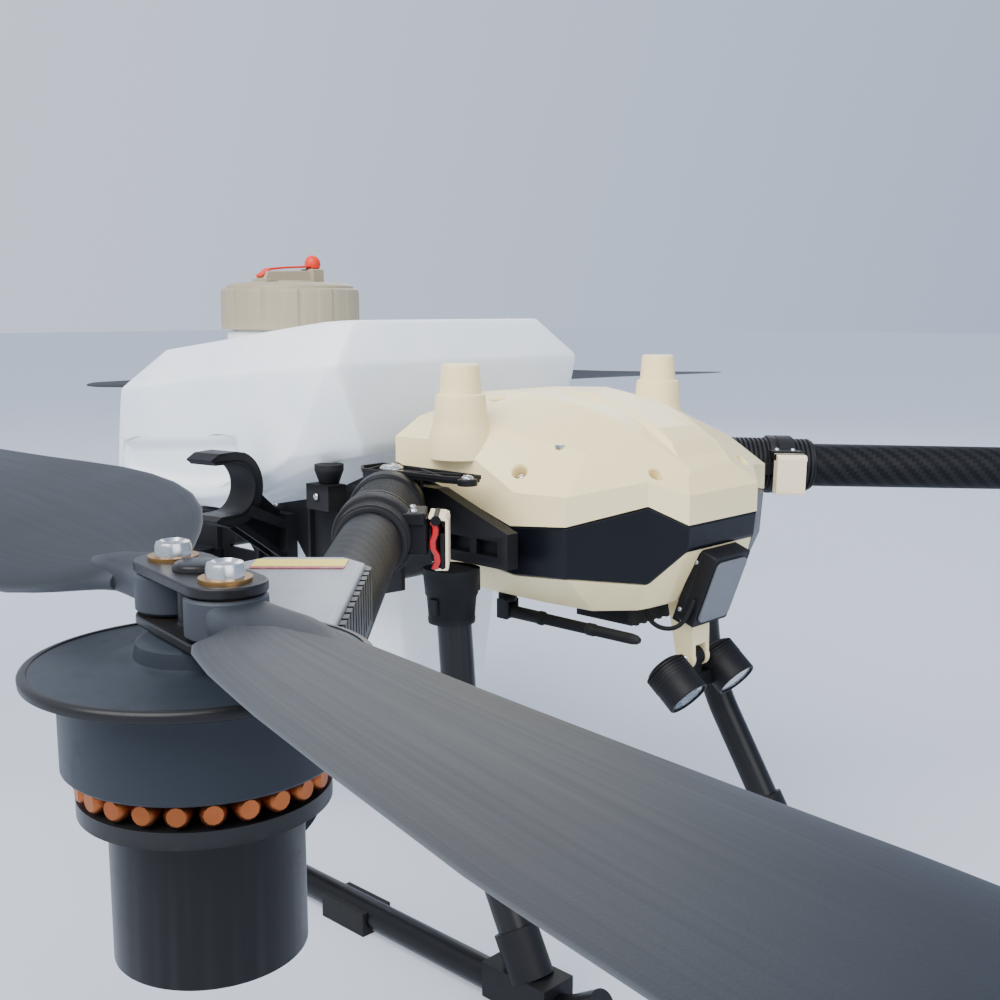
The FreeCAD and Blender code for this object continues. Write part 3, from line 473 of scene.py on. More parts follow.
def unwrap_tube(bm, faces, origin, axis, u, v, tow):
    """UVs on a turned form, counted in tow widths round it and along it, so that the twill closes."""
    layer = bm.loops.layers.uv.verify()
    for face in faces:
        middle = face.calc_center_median() - origin
        turn_middle = math.atan2(middle.dot(v), middle.dot(u))
        for loop in face.loops:
            offset = loop.vert.co - origin
            radial = Vector((offset.dot(u), offset.dot(v)))
            turn = math.atan2(radial.y, radial.x)
            turn += FULL_TURN * round((turn_middle - turn) / FULL_TURN)
            count = round(FULL_TURN * max(radial.length, 1.0) / tow / 4) * 4
            loop[layer].uv = (turn / FULL_TURN * count, offset.dot(axis) / tow)


def add_screw(bm, at, direction, radius, height):
    """A button-head screw with a socket, standing on a point."""
    r = radius
    profile = [(-height, 0), (-height, r * 0.6), (0, r), (height * 0.35, r * 0.98),
        (height * 0.8, r * 0.78), (height, r * 0.5), (height * 0.97, r * 0.42), (height * 0.45, r * 0.3),
        (height * 0.45, 0)]
    add_lathe(bm, profile, at, direction, 24)


def joint_at(name):
    """Where a joint is, in millimetres."""
    return Vector(JOINTS[name]["pos_m"]) / MM


def arm_matrix(prefix):
    """From arm coordinates (along, forward, up, from the hinge) to the object's, in millimetres."""
    pivot = joint_at(prefix + "arm_fold")
    motor = joint_at(prefix + "rotor_spin") - UP * BLADE_PLANE
    along = (motor - pivot).normalized()
    right = pivot.x < 0
    side = UP.cross(along).normalized() * (1 if right else -1)
    up = along.cross(side) * (1 if right else -1)
    matrix = Matrix((along, side, up)).transposed().to_4x4()
    matrix.translation = pivot
    return matrix


BLADE_PLANE = 95.0
ARMS = [end + "_" + word + "_" for end in ("front", "rear") for word in ("right", "left")]


# ---------------------------------------------------------------- nose covers
TOP_RIM = [(-170, -188, 494), (-165, -263, 494), (-160, -335, 453), (-160, -395, 455), (-85, -427, 464),
    (-56, -451, 451)]
PARTING = [(-170, -188, 470), (-165, -263, 446), (-158, -328, 422), (-160, -395, 429), (-85, -427, 442),
    (-56, -451, 424)]
BAND_LOW = [(-164, -188, 404), (-162, -263, 388), (-154, -328, 376), (-157, -393, 382), (-84, -425, 370),
    (-55, -449, 401)]
BELLY = [(-120, -188, 352), (-120, -263, 346), (-112, -328, 343), (-104, -380, 342), (-72, -410, 342),
    (-44, -420, 345)]
SHOULDER = [(-142, -192, 512), (-138, -262, 511), (-126, -330, 497), (-112, -380, 488), (-70, -412, 478),
    (-46, -442, 463)]
SPINE = [(-56, -196, 532), (-60, -262, 534), (-58, -330, 524), (-52, -370, 510), (-44, -410, 490),
    (-34, -436, 472)]


def mirror_ring(right_half):
    """A ring through the right half's points and their mirror images."""
    return list(right_half) + [(-x, y, z) for x, y, z in reversed(right_half)]


def add_rings(bm, rings):
    """A closed form through stacked rings of points."""
    made = [[bm.verts.new(p) for p in ring] for ring in rings]
    faces = wall(bm, made)
    count = len(rings[0])
    half = count // 2
    for ring in (made[0], made[-1]):
        for i in range(half - 1):
            faces.append(bm.faces.new((ring[i], ring[i + 1], ring[count - 2 - i], ring[count - 1 - i])))
    bmesh.ops.recalc_face_normals(bm, faces=faces)
    return faces


def nose():
    """The top cover, its two antenna posts and the dark band."""
    bm = new()
    add_rings(bm, [mirror_ring(r) for r in (PARTING, TOP_RIM, SHOULDER, SPINE)])
    top = piece("nose_cover_top", bm, "frame", CREAM, bevel=3.0, segments=4, smooth=14,
        replaces=["nose_top_cover"])
    posts = new()
    for x in (-153, 153):
        add_lathe(posts, [(478, 0), (478, 30), (497, 29.5), (504, 27.5), (510, 25.6), (515, 24.8),
            (534, 23.6), (536.5, 22.8), (537.5, 21), (537.8, 19.8), (539, 19.4), (560, 18.0), (563.5, 17.2),
            (565, 15), (565, 0)], (x, -260, 0), UP, 56)
    piece("antenna_posts", posts, "frame", CREAM, smooth=32)
    bm = new()
    add_rings(bm, [mirror_ring(r) for r in (BAND_LOW, [(x, y, z - 0.6) for x, y, z in PARTING])])
    piece("nose_band", bm, "frame", NAVY, bevel=2.2, segments=3, smooth=8, replaces=["nose_mid_band"])
    return top


COVER = nose()


def drill(obj, cutter):
    """Cuts the cutter's solids, in millimetres, out of a piece for good."""
    bmesh.ops.scale(cutter, vec=(MM, MM, MM), verts=cutter.verts)
    mesh = bpy.data.meshes.new("cutter")
    cutter.to_mesh(mesh)
    cutter.free()
    tool = add_object("cutter", mesh)
    others = [(m, m.show_viewport) for m in obj.modifiers]
    for modifier, _ in others:
        modifier.show_viewport = False
    boolean = obj.modifiers.new("drilled", "BOOLEAN")
    boolean.operation = "DIFFERENCE"
    boolean.solver = "EXACT"
    boolean.object = tool
    bpy.context.view_layer.update()
    cut = bpy.data.meshes.new_from_object(obj.evaluated_get(bpy.context.evaluated_depsgraph_get()))
    obj.modifiers.remove(boolean)
    obj.data = cut
    for modifier, shown in others:
        modifier.show_viewport = shown
    bpy.data.objects.remove(tool)
    cut.set_sharp_from_angle(angle=math.radians(14))


def nose_details(top):
    """The raised spine boss, the deep screw holes with their screws, and the belly pan with its seams."""
    corners = [v.co.copy() for v in top.data.vertices]
    cover = BVHTree.FromPolygons(corners, [list(p.vertices) for p in top.data.polygons])
    bm = new()
    low = [(-16, -222, 531), (-20, -300, 527), (-33, -398, 494), (-37, -424, 480)]
    high = [(-11, -228, 535), (-15, -300, 534), (-27, -394, 505), (-31, -412, 494)]
    add_rings(bm, [mirror_ring(low), mirror_ring(high)])
    piece("spine_boss", bm, "frame", CREAM, bevel=2.2, segments=4, smooth=14)
    heads, sites = new(), []
    for x, y in ((-148, -330), (-70, -424), (-82, -240)):
        for side in (1, -1):
            hit, normal = cover.ray_cast(Vector((x * side, y, 700)) * MM, Vector((0, 0, -1)))[:2]
            sites.append((hit / MM, normal))
    cutter = new()
    for at, up in sites:
        add_lathe(cutter, [(-11, 0), (-11, 6.2), (-1, 6.8), (0.8, 8.0), (3, 9.2), (3, 0)], at, up, 36)
        add_screw(heads, at - up * 9.5, up, 4.6, 2.6)
    drill(top, cutter)
    piece("cover_screw_heads", heads, "frame", STEEL)
    bm = new()
    top = [(x * 0.985, y * 0.998, z - 0.6) for x, y, z in BAND_LOW]
    add_rings(bm, [mirror_ring(BELLY), mirror_ring(top)])
    piece("belly_pan", bm, "frame", CREAM, bevel=2.5, segments=3, smooth=10, replaces=["nose_lower_shell"])
    bm = new()
    add_box(bm, (-60, -392, 323), (40, -325, 341), 4)
    for x in range(-50, 36, 12):
        add_box(bm, (x, -390, 319.5), (x + 5, -327, 324), 0)
    piece("terminal_box", bm, "frame", BLACK, bevel=0.8)
    bm = new()
    add_side_prism(bm, -13, [(-393, 342), (-426, 344), (-428, 372), (-405, 372)], 26)
    piece("radar_cowl", bm, "frame", CREAM, bevel=2, smooth=20)


nose_details(COVER)


# ---------------------------------------------------------------- tank, cap and strap
TANK_X = 190
TANK_FOOT = [(-150, 334, 399), (-176, 298, 398), (-176, 234, 387), (-176, 105, 391), (-176, 37, 410),
    (-176, -48, 450), (-148, -112, 466)]
TANK_WAIST = [(-158, 340, 411), (-TANK_X, 306, 408), (-TANK_X, 234, 398), (-TANK_X, 105, 402),
    (-TANK_X, 37, 421), (-TANK_X, -46, 464), (-152, -118, 477)]
TANK_MID = [(-158, 336, 462), (-TANK_X, 300, 468), (-TANK_X, 234, 474), (-TANK_X, 105, 484),
    (-TANK_X, 37, 492), (-TANK_X, -82, 516), (-172, -118, 520)]
TANK_EDGE = [(-158, 328, 500), (-TANK_X, 290, 520), (-TANK_X, 234, 526), (-TANK_X, 105, 541),
    (-TANK_X, 37, 549), (-TANK_X, -106, 560), (-184, -117, 561)]
TANK_TOP = [(-100, 292, 560), (-142, 262, 566), (-143, 225, 570), (-146, 100, 584), (-148, 37, 592),
    (-150, -58, 602), (-140, -92, 604)]
SUMP_TOP = [(-110, 190, 440), (-120, 150, 440), (-120, -60, 466), (-100, -90, 470)]
SUMP_LOW = [(-60, 90, 178), (-80, 60, 176), (-80, -50, 176), (-60, -80, 178)]
CAP_Y, CAP_R = 200, 86


def tank():
    """The tank with its side panels and sump, the filler neck and the drain."""
    bm = new()
    faces = add_rings(bm, [mirror_ring(r) for r in (TANK_FOOT, TANK_WAIST, TANK_MID, TANK_EDGE, TANK_TOP)])
    bm.normal_update()
    for side in (1, -1):
        panel = [f
            for f in faces if f.is_valid and f.normal.x * side > 0.9 and 30 < f.calc_center_median().y < 300
            and f.calc_center_median().z < 470]
        bmesh.ops.inset_region(bm, faces=panel, thickness=13, depth=0, use_even_offset=True)
        bmesh.ops.inset_region(bm, faces=panel, thickness=10, depth=-8, use_even_offset=True)
    add_rings(bm, [mirror_ring(SUMP_LOW), mirror_ring(SUMP_TOP)])
    piece("tank_shell", bm, "spray_tank", TANK, bevel=3.6, segments=4, smooth=12, subdivide=1,
        replaces=["spray_tank"])
    bm = new()
    add_lathe(bm, [(556, 79), (584, 79), (587, 77), (588, 73), (589, 71.5), (592, 71), (594, 71),
        (595, 72.5), (597, 72.5), (598, 71), (601, 71), (602, 72.5), (604, 72.5), (605, 71), (610, 71),
        (612, 69.5), (612, 66.5), (606, 66), (556, 66)], (0, CAP_Y, 0), UP, 96, closed=True)
    piece("filler_neck", bm, "spray_tank", TANK, smooth=40)
    bm = new()
    add_lathe(bm, [(0, 0), (0, 21), (2, 22), (12, 22), (13, 21), (13, 14), (16, 13), (30, 13), (31, 12),
        (31, 0)], (0, -20, 162), UP, 40)
    for i in range(12):
        turn = math.radians(30 * i)
        x, y = 20 * math.cos(turn), 20 * math.sin(turn) - 20
        add_box(bm, (x - 2.5, y - 2.5, 163), (x + 2.5, y + 2.5, 173), 1)
    piece("sump_drain", bm, "spray_tank", BLACK)


def cap():
    """The cap's ribbed ring, its handle and the pull strap."""
    bm = new()
    steps = 240
    east, north = Vector((1, 0, 0)), Vector((0, 1, 0))
    levels = [(590, -1.5), (591.2, 0), (600, 0), (634, 0), (638.5, -1.2), (640, -4)]
    rings = []
    for z, inset in levels:
        ring = []
        for i in range(steps):
            turn = FULL_TURN * i / steps
            phase = (i % 20) / 20.0
            groove = 2.2 if phase < 0.1 else (1.1 if phase < 0.55 else 0.0)
            r = CAP_R + inset - (groove if 591.5 < z < 636 else min(groove, 0.6))
            ring.append(bm.verts.new((r * math.cos(turn), CAP_Y + r * math.sin(turn), z)))
        rings.append(ring)
    for z, r in ((640, 80), (643, 79), (646, 74), (647.5, 60), (647.8, 20)):
        rings.append(circle(bm, Vector((0, CAP_Y, z)), east, north, r, steps))
    inner = [circle(bm, Vector((0, CAP_Y, z)), east, north, 74, steps) for z in (590, 618)]
    join_rings(bm, inner[::-1] + rings)
    piece("cap_ring", bm, "tank_cap", BEIGE, smooth=34, replaces=["tank_cap"])
    bm = new()
    bar = [(-50, -12, 646), (50, -12, 646), (50, 12, 646), (-50, 12, 646)]
    top = [(-40, -9, 661), (28, -9, 663), (28, 9, 663), (-40, 9, 661)]
    join_rings(bm, [[bm.verts.new((x, CAP_Y + y, z)) for x, y, z in ring] for ring in (bar, top)])
    add_box(bm, (24, CAP_Y - 13, 646), (46, CAP_Y + 13, 665), 3)
    add_box(bm, (-48, CAP_Y - 15, 647), (-36, CAP_Y + 15, 652), 2)
    add_lathe(bm, [(646, 0), (646, 30), (649.5, 29), (650, 27), (650, 0)], (0, CAP_Y, 0), UP, 48)
    piece("cap_handle", bm, "tank_cap", BEIGE, bevel=1.6, segments=3)
    bm = new()
    path = [Vector((-47, CAP_Y, 655)), Vector((-34, CAP_Y, 663.5)), Vector((-10, CAP_Y, 666)),
        Vector((20, CAP_Y, 667.5)), Vector((34, CAP_Y, 669))]
    add_strip(bm, path, 13, 2.6)
    add_lathe(bm, [(664.8, 0), (664.8, 6), (666, 9), (671, 10.2), (676, 9.4), (680, 6.5), (682, 3),
        (682.6, 0)], (36, CAP_Y, 0), UP, 32)
    piece("cap_pull_strap", bm, "tank_cap", ORANGE, bevel=0.7, smooth=35, replaces=["cap_strap"])


def add_strip(bm, path, width, thick):
    """A flat strap along a path, lying across +Y."""
    rings = []
    for p in path:
        rings.append([bm.verts.new(p + Vector((0, y * width / 2, z * thick / 2)))
            for y, z in ((-1, -1), (1, -1), (1, 1), (-1, 1))])
    join_rings(bm, rings)


tank()
cap()


# ---------------------------------------------------------------- arms
LATCH_X = 152


def ribs(start, end, low, high):
    """Profile points of rounded ribs between two distances along."""
    points = []
    while start < end:
        points += [(start, low), (start + 0.6, high), (start + 2.9, high), (start + 3.5, low)]
        start += 5.2
    return points


def arm_pieces(prefix):
    """The ribbed root, woven tube, latch block and speed controller cover of one arm."""
    matrix = arm_matrix(prefix)
    body = prefix + "arm"
    bm = new()
    sleeve = [(34, 0), (34, 29), (58, 29.3)] + ribs(60, 134, 28.8, 31.0)
    sleeve += [(136, 30.5), (137, 33.2), (138.5, 34), (143, 34), (143.8, 33), (146, 33), (146.8, 34),
        (164, 34), (166, 33), (166.5, 30.5)] + ribs(168, 186, 28.4, 30.4)
    sleeve += [(189, 29.0), (190, 28.2), (190, 25.2), (120, 25.2), (120, 0)]
    add_lathe(bm, sleeve, (0, 0, 0), (1, 0, 0), 72)
    piece(prefix + "ribbed_sleeve", bm, body, SOFT_BLACK, matrix, smooth=32, replaces=[prefix + "arm_root"])
    bm = new()
    add_lathe(bm, [(31, 27), (33, 32.5), (37, 34.2), (57, 34.2), (59.5, 33.4), (60.5, 31.5), (60.5, 29),
        (31, 27)], (0, 0, 0), (1, 0, 0), 64)
    add_prism(bm, [(-6, -20, -19.6), (40, -24, -19.6), (40, 24, -19.6), (-6, 20, -19.6)], (0, 0, 39.2))
    for y in (-24, -8, 8, 20):
        add_box(bm, (16, y, -19.9), (44, y + 3, 19.9), 0)
    piece(prefix + "arm_hood", bm, body, BLACK, matrix, bevel=1.2)
    bm = new()
    pivot = joint_at(prefix + "arm_fold")
    add_lathe(bm, [(-20, 8.2), (-20, 24.5), (-18.5, 26), (-8, 26), (-7.4, 25.2), (7.4, 25.2), (8, 26),
        (18.5, 26), (20, 24.5), (20, 8.2)], pivot, UP, 56, closed=True)
    piece(prefix + "hinge_knuckle", bm, body, BLACK)
    bm = new()
    add_lathe(bm, [(188, 23.2), (188, 25), (655, 25), (655, 23.2)], (0, 0, 0), (1, 0, 0), 64, closed=True,
        tow=4.6)
    piece(prefix + "carbon_tube", bm, body, CARBON, matrix, replaces=[prefix + "arm_tube"])
    latch_block(prefix, matrix, body)
    speed_controller(prefix, matrix, body)


def latch_block(prefix, matrix, body):
    """The clamp block at the collar, and on a front arm the cream latch cover and its red clip."""
    bm = new()
    add_box(bm, (LATCH_X - 15, 26, -15), (LATCH_X + 15, 43.5, 15), 2)
    add_box(bm, (LATCH_X - 18, 22, 10), (LATCH_X + 18, 42, 20), 2)
    add_box(bm, (LATCH_X - 30, 24, -8), (LATCH_X - 12, 38, 6), 2)
    piece(prefix + "clamp_block", bm, body, BLACK, matrix, bevel=1.4, segments=3)
    bm = new()
    add_screw(bm, (LATCH_X + 8, 32, 20), UP, 3.2, 2.2)
    add_screw(bm, (LATCH_X - 10, 30, 20), UP, 3.2, 2.2)
    piece(prefix + "clamp_screws", bm, body, STEEL, matrix)
    if prefix.startswith("rear"):
        return
    moving = prefix + "latch"
    bm = new()
    add_side_prism(bm, LATCH_X - 17, [(44.4, 18), (58, 17), (60.5, 13), (60.5, 9.5), (57.5, 13.5),
        (44.4, 15.2)], 34)
    add_box(bm, (LATCH_X - 17, 57.8, -26), (LATCH_X + 16.5, 60.4, 14), 0)
    add_box(bm, (LATCH_X - 17, 49, -27.5), (LATCH_X + 15, 60, -25.6), 0)
    add_box(bm, (LATCH_X - 17, 45, -27), (LATCH_X - 14.5, 60, 16), 0)
    piece(prefix + "latch_cover", bm, moving, LATCH_CREAM, matrix, bevel=0.9, segments=3,
        replaces=[prefix + "latch"])
    bm = new()
    spine = [(45.2, 12), (47.4, 8), (47.2, 3), (45.0, -3), (45.2, -9), (48.2, -14), (48.8, -20),
        (46.0, -26)]
    add_side_prism(bm, LATCH_X + 7, spine + [(y + 5.2, z - 0.6) for y, z in reversed(spine)], 9)
    piece(prefix + "red_safety_clip", bm, moving, RED, matrix, bevel=1.2, segments=3, smooth=25)
    bm = new()
    add_box(bm, (LATCH_X - 12, 53.4, -27), (LATCH_X + 15, 57.4, 3), 1)
    add_box(bm, (LATCH_X - 12, 45.6, -22), (LATCH_X + 5, 53.6, 9), 1)
    add_lathe(bm, [(-17.5, 0), (-17.5, 4.2), (17.5, 4.2), (17.5, 0)], (LATCH_X, 50.3, 14), (1, 0, 0), 24)
    piece(prefix + "latch_tongue", bm, moving, BLACK, matrix, bevel=0.9, segments=3)


def speed_controller(prefix, matrix, body):
    """The speed controller's pale cover and caution strip, above a front tube and below a rear one."""
    flip = Matrix.Identity(4) if prefix.startswith("front") else Matrix.Rotation(math.pi, 4, "X")
    matrix = matrix @ flip
    bm = new()
    low = [(494, 22), (506, 33), (624, 33), (636, 22), (636, -22), (624, -33), (506, -33), (494, -22)]
    made = []
    for z, shrink in ((54, 0), (58.5, 0), (60, 2.5)):
        made.append([bm.verts.new((x + (shrink if x < 565 else -shrink), y - math.copysign(shrink, y), z))
            for x, y in low])
    join_rings(bm, made)
    piece(prefix + "controller_cover", bm, body, GREY, matrix, bevel=1.2, segments=3, smooth=25)
    bm = new()
    layer = bm.loops.layers.uv.verify()
    corners = [(504, -24, 60.3), (504, 24, 60.3), (524, 24, 60.3), (524, -24, 60.3)]
    face = bm.faces.new([bm.verts.new(c) for c in corners])
    for loop, uv in zip(face.loops, ((0, 0), (1, 0), (1, 1), (0, 1))):
        loop[layer].uv = uv
    bm.normal_update()
    bmesh.ops.solidify(bm, geom=[face], thickness=0.25)
    bmesh.ops.recalc_face_normals(bm, faces=bm.faces)
    piece(prefix + "caution_strip", bm, body, BAND, matrix)


for arm in ARMS:
    arm_pieces(arm)


# ---------------------------------------------------------------- motors, hubs and blades
def rotor_pieces(prefix):
    """The bell, windings, hub and blades of one motor."""
    centre = joint_at(prefix + "rotor_spin") - UP * BLADE_PLANE
    pivots = [joint_at(prefix + "blade_%s_fold" % letter) for letter in "ab"]
    line = (pivots[0] - pivots[1]).normalized()
    body = prefix + "rotor"
    bm = new()
    bell = [(70, 0), (68, 43), (40, 43), (40, 47.5), (41, 48.5), (66, 48.5), (70, 49.5), (71.2, 52),
        (71.4, 57.5), (74.6, 57.8), (75, 55), (74.8, 34), (75.6, 32), (76, 25), (77, 23), (82, 22),
        (83, 20), (83, 0)]
    add_lathe(bm, bell, centre, UP, 96)
    piece(prefix + "motor_bell", bm, body, MOTOR_TOP, smooth=32, replaces=[prefix + "rotor"])
    bm = new()
    add_lathe(bm, [(71, 56), (71, 59), (71.6, 60.2), (73.8, 60.4), (74.8, 59.8), (75.2, 58.8), (75.2, 57.4),
        (73, 56)], centre, (0, 0, 1), 96, closed=True)
    piece(prefix + "bell_rim", bm, body, ANODISED, smooth=40)
    bm = new()
    for i in range(24):
        turn = math.radians(15 * i)
        out = Vector((math.cos(turn), math.sin(turn), 0))
        add_lathe(bm, [(-5, 0), (-5, 4.4), (5, 4.4), (6.5, 3.2), (6.5, 0)],
            centre + out * 38 + Vector((0, 0, 35.4)), out, 12)
    piece(prefix + "windings", bm, prefix + "arm", COPPER, smooth=40)
    bm = new()
    across = Vector((-line.y, line.x, 0))
    for low, high in ((83.5, 87), (102.6, 106.4)):
        outline = []
        for s in (1, -1):
            for i in range(13):
                turn = math.radians(-90 + 180 * i / 12.0)
                outline.append(line * s * (22.5 + 14 * math.cos(turn)) + across * s * 14 * math.sin(turn))
        add_prism(bm, [centre + p + Vector((0, 0, low)) for p in outline], (0, 0, high - low))
    add_lathe(bm, [(86, 0), (86, 11), (88, 7.6), (102, 7.6), (104, 11), (104, 0)], centre, UP, 32)
    add_lathe(bm, [(106, 0), (106, 9), (108.5, 8.4), (109, 7), (109, 0)], centre, UP, 32)
    piece(prefix + "hub_plates", bm, body, ANODISED, bevel=0.8)
    bm, brass = new(), new()
    for pivot in pivots:
        base = Vector((pivot.x, pivot.y, centre.z))
        add_lathe(bm, [(84, 0), (84, 4), (107, 4), (107, 6.6), (111, 6.6), (112.4, 6), (113, 4.4),
            (112, 3.2), (110, 3), (110, 0)], base, UP, 24)
        add_lathe(brass, [(106.2, 4.2), (106.2, 9), (107.6, 9), (107.6, 4.2)], base, UP, 28, closed=True)
        add_lathe(brass, [(87.4, 5), (87.4, 10.5), (102.4, 10.5), (102.4, 5)], base, UP, 28, closed=True)
    piece(prefix + "hub_bolts", bm, body, STEEL, smooth=35)
    piece(prefix + "hub_washers", brass, body, BRASS, smooth=35)
    for letter, pivot, out in (("a", pivots[0], line), ("b", pivots[1], -line)):
        blade_piece(prefix, letter, pivot, out)


STATIONS = ((30, 30, 13, 8.0), (44, 48, 12.6, 12.0), (62, 70, 12, 15.0), (84, 88, 11.4, 16.6),
    (112, 102, 10.4, 17.0), (145, 111, 9.6, 16.6), (185, 116, 8.8, 15.6), (230, 118, 8, 14.0),
    (285, 113, 7.2, 12.4), (340, 105, 6.5, 11.0), (450, 88, 5.2, 9.0), (560, 70, 4, 7.0), (615, 54, 3, 6.0),
    (627.5, 22, 2.2, 5.0))


BLADE_START, BLADE_TIP, TIP_START, TIP_CHORD = 30.0, 627.4, 600, 58


def station(radius):
    """Chord, thickness and twist at a radius, read between the driving stations."""
    for low, high in zip(STATIONS, STATIONS[1:]):
        if radius <= high[0]:
            t = (radius - low[0]) / (high[0] - low[0])
            return [a + (b - a) * t for a, b in zip(low[1:], high[1:])]
    return list(STATIONS[-1][1:])


def blade_piece(prefix, letter, pivot, out):
    """One twisted blade with a thin trailing edge and a rounded tip, and its root eye and shank."""
    spin = 1 if prefix.startswith("front") == prefix.endswith("left_") else -1
    side = UP.cross(out)
    bm = new()
    layer = bm.loops.layers.uv.verify()
    count, rings, radii = 28, [], [BLADE_START]
    while radii[-1] + 4 < BLADE_TIP:
        radii.append(radii[-1] + (9.0 if radii[-1] < 590 else 4.0))
    for radius in radii + [BLADE_TIP]:
        chord, thick, twist = station(radius)
        if radius > TIP_START:
            chord = TIP_CHORD * math.sqrt(max(0.06, 1 - ((radius - TIP_START) / 28.5) ** 2))
        twist = math.radians(twist) * spin
        ring = []
        for i in range(count):
            turn = FULL_TURN * i / count
            x = math.cos(turn)
            camber = 0.13 * thick * (1 - x * x)
            y = x * chord / 2 * (0.9 if x > 0 else 1.1)
            z = camber + thick * 0.5 * math.sin(turn) * (0.62 + 0.38 * x)
            over, rise = y * math.cos(twist), y * math.sin(twist) + z * math.cos(twist)
            ring.append(bm.verts.new(pivot + out * radius + side * over + UP * rise))
        rings.append(ring)
    faces = wall(bm, rings)
    for number, face in enumerate(faces):
        k, i = divmod(number, count)
        for loop, (a, b) in zip(face.loops, ((k, i), (k, i + 1), (k + 1, i + 1), (k + 1, i))):
            loop[layer].uv = (a / len(rings), b / count)
    bm.faces.new(rings[-1])
    bm.faces.new(list(reversed(rings[0])))
    bmesh.ops.recalc_face_normals(bm, faces=bm.faces)
    piece(prefix + "blade_%s_wing" % letter, bm, prefix + "blade_" + letter, BLADE, smooth=50,
        replaces=[prefix + "blade_" + letter])
    bm = new()
    add_lathe(bm, [(-7, 4.5), (-7, 13), (-6, 14), (6, 14), (7, 13), (7, 4.5)], pivot, UP, 40, closed=True)
    shank = [(8, 11, 6), (24, 11.5, 6.3), (38, 13, 6.4), (52, 13, 5.4), (64, 10, 3.0)]
    sections = [(pivot + out * along, half, tall, 0.5) for along, half, tall in shank]
    add_squared_loft(bm, sections, side, UP, 20)
    piece(prefix + "blade_%s_root" % letter, bm, prefix + "blade_" + letter, BLADE, smooth=40)


for arm in ARMS:
    rotor_pieces(arm)


# ---------------------------------------------------------------- radar, lamps, antenna and cable
def tilted(origin, degrees):
    """A place leaning back about the X axis."""
    return Matrix.Translation(Vector(origin)) @ Matrix.Rotation(math.radians(degrees), 4, "X")


def radar():
    """The radar case with its window, side brackets and screws."""
    matrix = tilted((0, -447, 358), 20)
    bm = new()
    add_rounded_plate(bm, 58, 74, 3.0, -3.5, 14)
    piece("radar_case", bm, "frame", BLACK, matrix, bevel=1.0, segments=3, replaces=["radar_module"],
        slot="radar_grey")
    bm = new()
    add_rounded_plate(bm, 48, 63, 6.0, -6.2, -3.4)
    piece("radar_window", bm, "frame", RADAR_FACE, matrix, bevel=0.5)
    bm = new()
    for x in (-26.5, 26.5):
        add_box(bm, (x - 3, 10, -30), (x + 3, 19.5, 34), 1)
        add_box(bm, (x - 1.5, 12, -40), (x + 1.5, 20, -28), 0)
    piece("radar_side_brackets", bm, "frame", BLACK, matrix, bevel=0.8)
    bm = new()
    for x in (-30, 30):
        for z in (-26, 24):
            add_screw(bm, (x * 0.985, 14.5, z), (math.copysign(1, x), 0, 0), 2.4, 1.4)
    piece("radar_screws", bm, "frame", STEEL, matrix)


def add_rounded_plate(bm, wide, tall, corner, y0, y1):
    """A plate facing -Y with rounded corners, between two depths."""
    outline = []
    for sx, sz, start in ((1, 1, 0), (-1, 1, 90), (-1, -1, 180), (1, -1, 270)):
        for i in range(7):
            turn = math.radians(start + 15 * i)
            x = sx * (wide / 2 - corner) + corner * math.cos(turn)
            outline.append((x, y0, sz * (tall / 2 - corner) + corner * math.sin(turn)))
    add_prism(bm, outline, (0, y1 - y0, 0))


def lamps():
    """Two barrels with reflectors and glasses, on a hinged yoke."""
    aim = Vector((0, -0.77, -0.64)).normalized()
    shells, mirrors, lenses, chips = new(), new(), new(), new()
    for s in (-1, 1):
        start = Vector((s * 40, -414, 284))
        add_lathe(shells, [(0, 0), (0, 15), (1.5, 18), (5, 20.4), (12, 21), (39, 21), (40, 20.3),
            (40, 18.6), (36, 18.2), (30, 18.1), (30, 0)], start, aim, 64)
        for k in range(5):
            add_lathe(shells, [(4 + 3.2 * k, 17), (4 + 3.2 * k, 21.4), (5.4 + 3.2 * k, 21.4),
                (5.4 + 3.2 * k, 17)], start, aim, 48, closed=True)
        add_lathe(mirrors, [(30.2, 0), (30.2, 17.9), (36.5, 17.9), (34, 14), (31.5, 9), (30.4, 4.5),
            (30.4, 0)], start, aim, 48)
        add_lathe(lenses, [(36.8, 0), (36.8, 17.9), (37.4, 17.9), (38.2, 17.6), (38.2, 0)], start, aim, 48)
        add_lathe(chips, [(30.5, 0), (30.5, 5), (33, 4.6), (34.2, 3), (34.6, 0)], start, aim, 24)
    piece("lamp_barrels", shells, "lamps", BLACK, replaces=["lamp_housing"], slot="motor_black")
    piece("lamp_reflectors", mirrors, "lamps", MIRROR, smooth=40)
    piece("lamp_glasses", lenses, "lamps", GLASS, smooth=40, replaces=["lamp_lenses"])
    piece("lamp_emitters", chips, "lamps", GREY, smooth=40)
    bm = new()
    add_side_prism(bm, -30, [(-430, 256), (-412, 256), (-410, 268), (-428, 270)], 60)
    add_box(bm, (-7.8, -427, 258), (7.8, -413, 288), 2)
    add_lathe(bm, [(-7.8, 2.4), (-7.8, 9.6), (7.8, 9.6), (7.8, 2.4)], (0, -420, 286), (1, 0, 0), 32,
        closed=True)
    piece("lamp_yoke", bm, "lamps", BLACK, bevel=1.5, segments=3, slot="motor_black")
    bm = new()
    for s in (-1, 1):
        add_screw(bm, (s * 14, -420, 286), (s, 0, 0), 4.2, 2.0)
    piece("lamp_hinge_screws", bm, "lamps", STEEL)


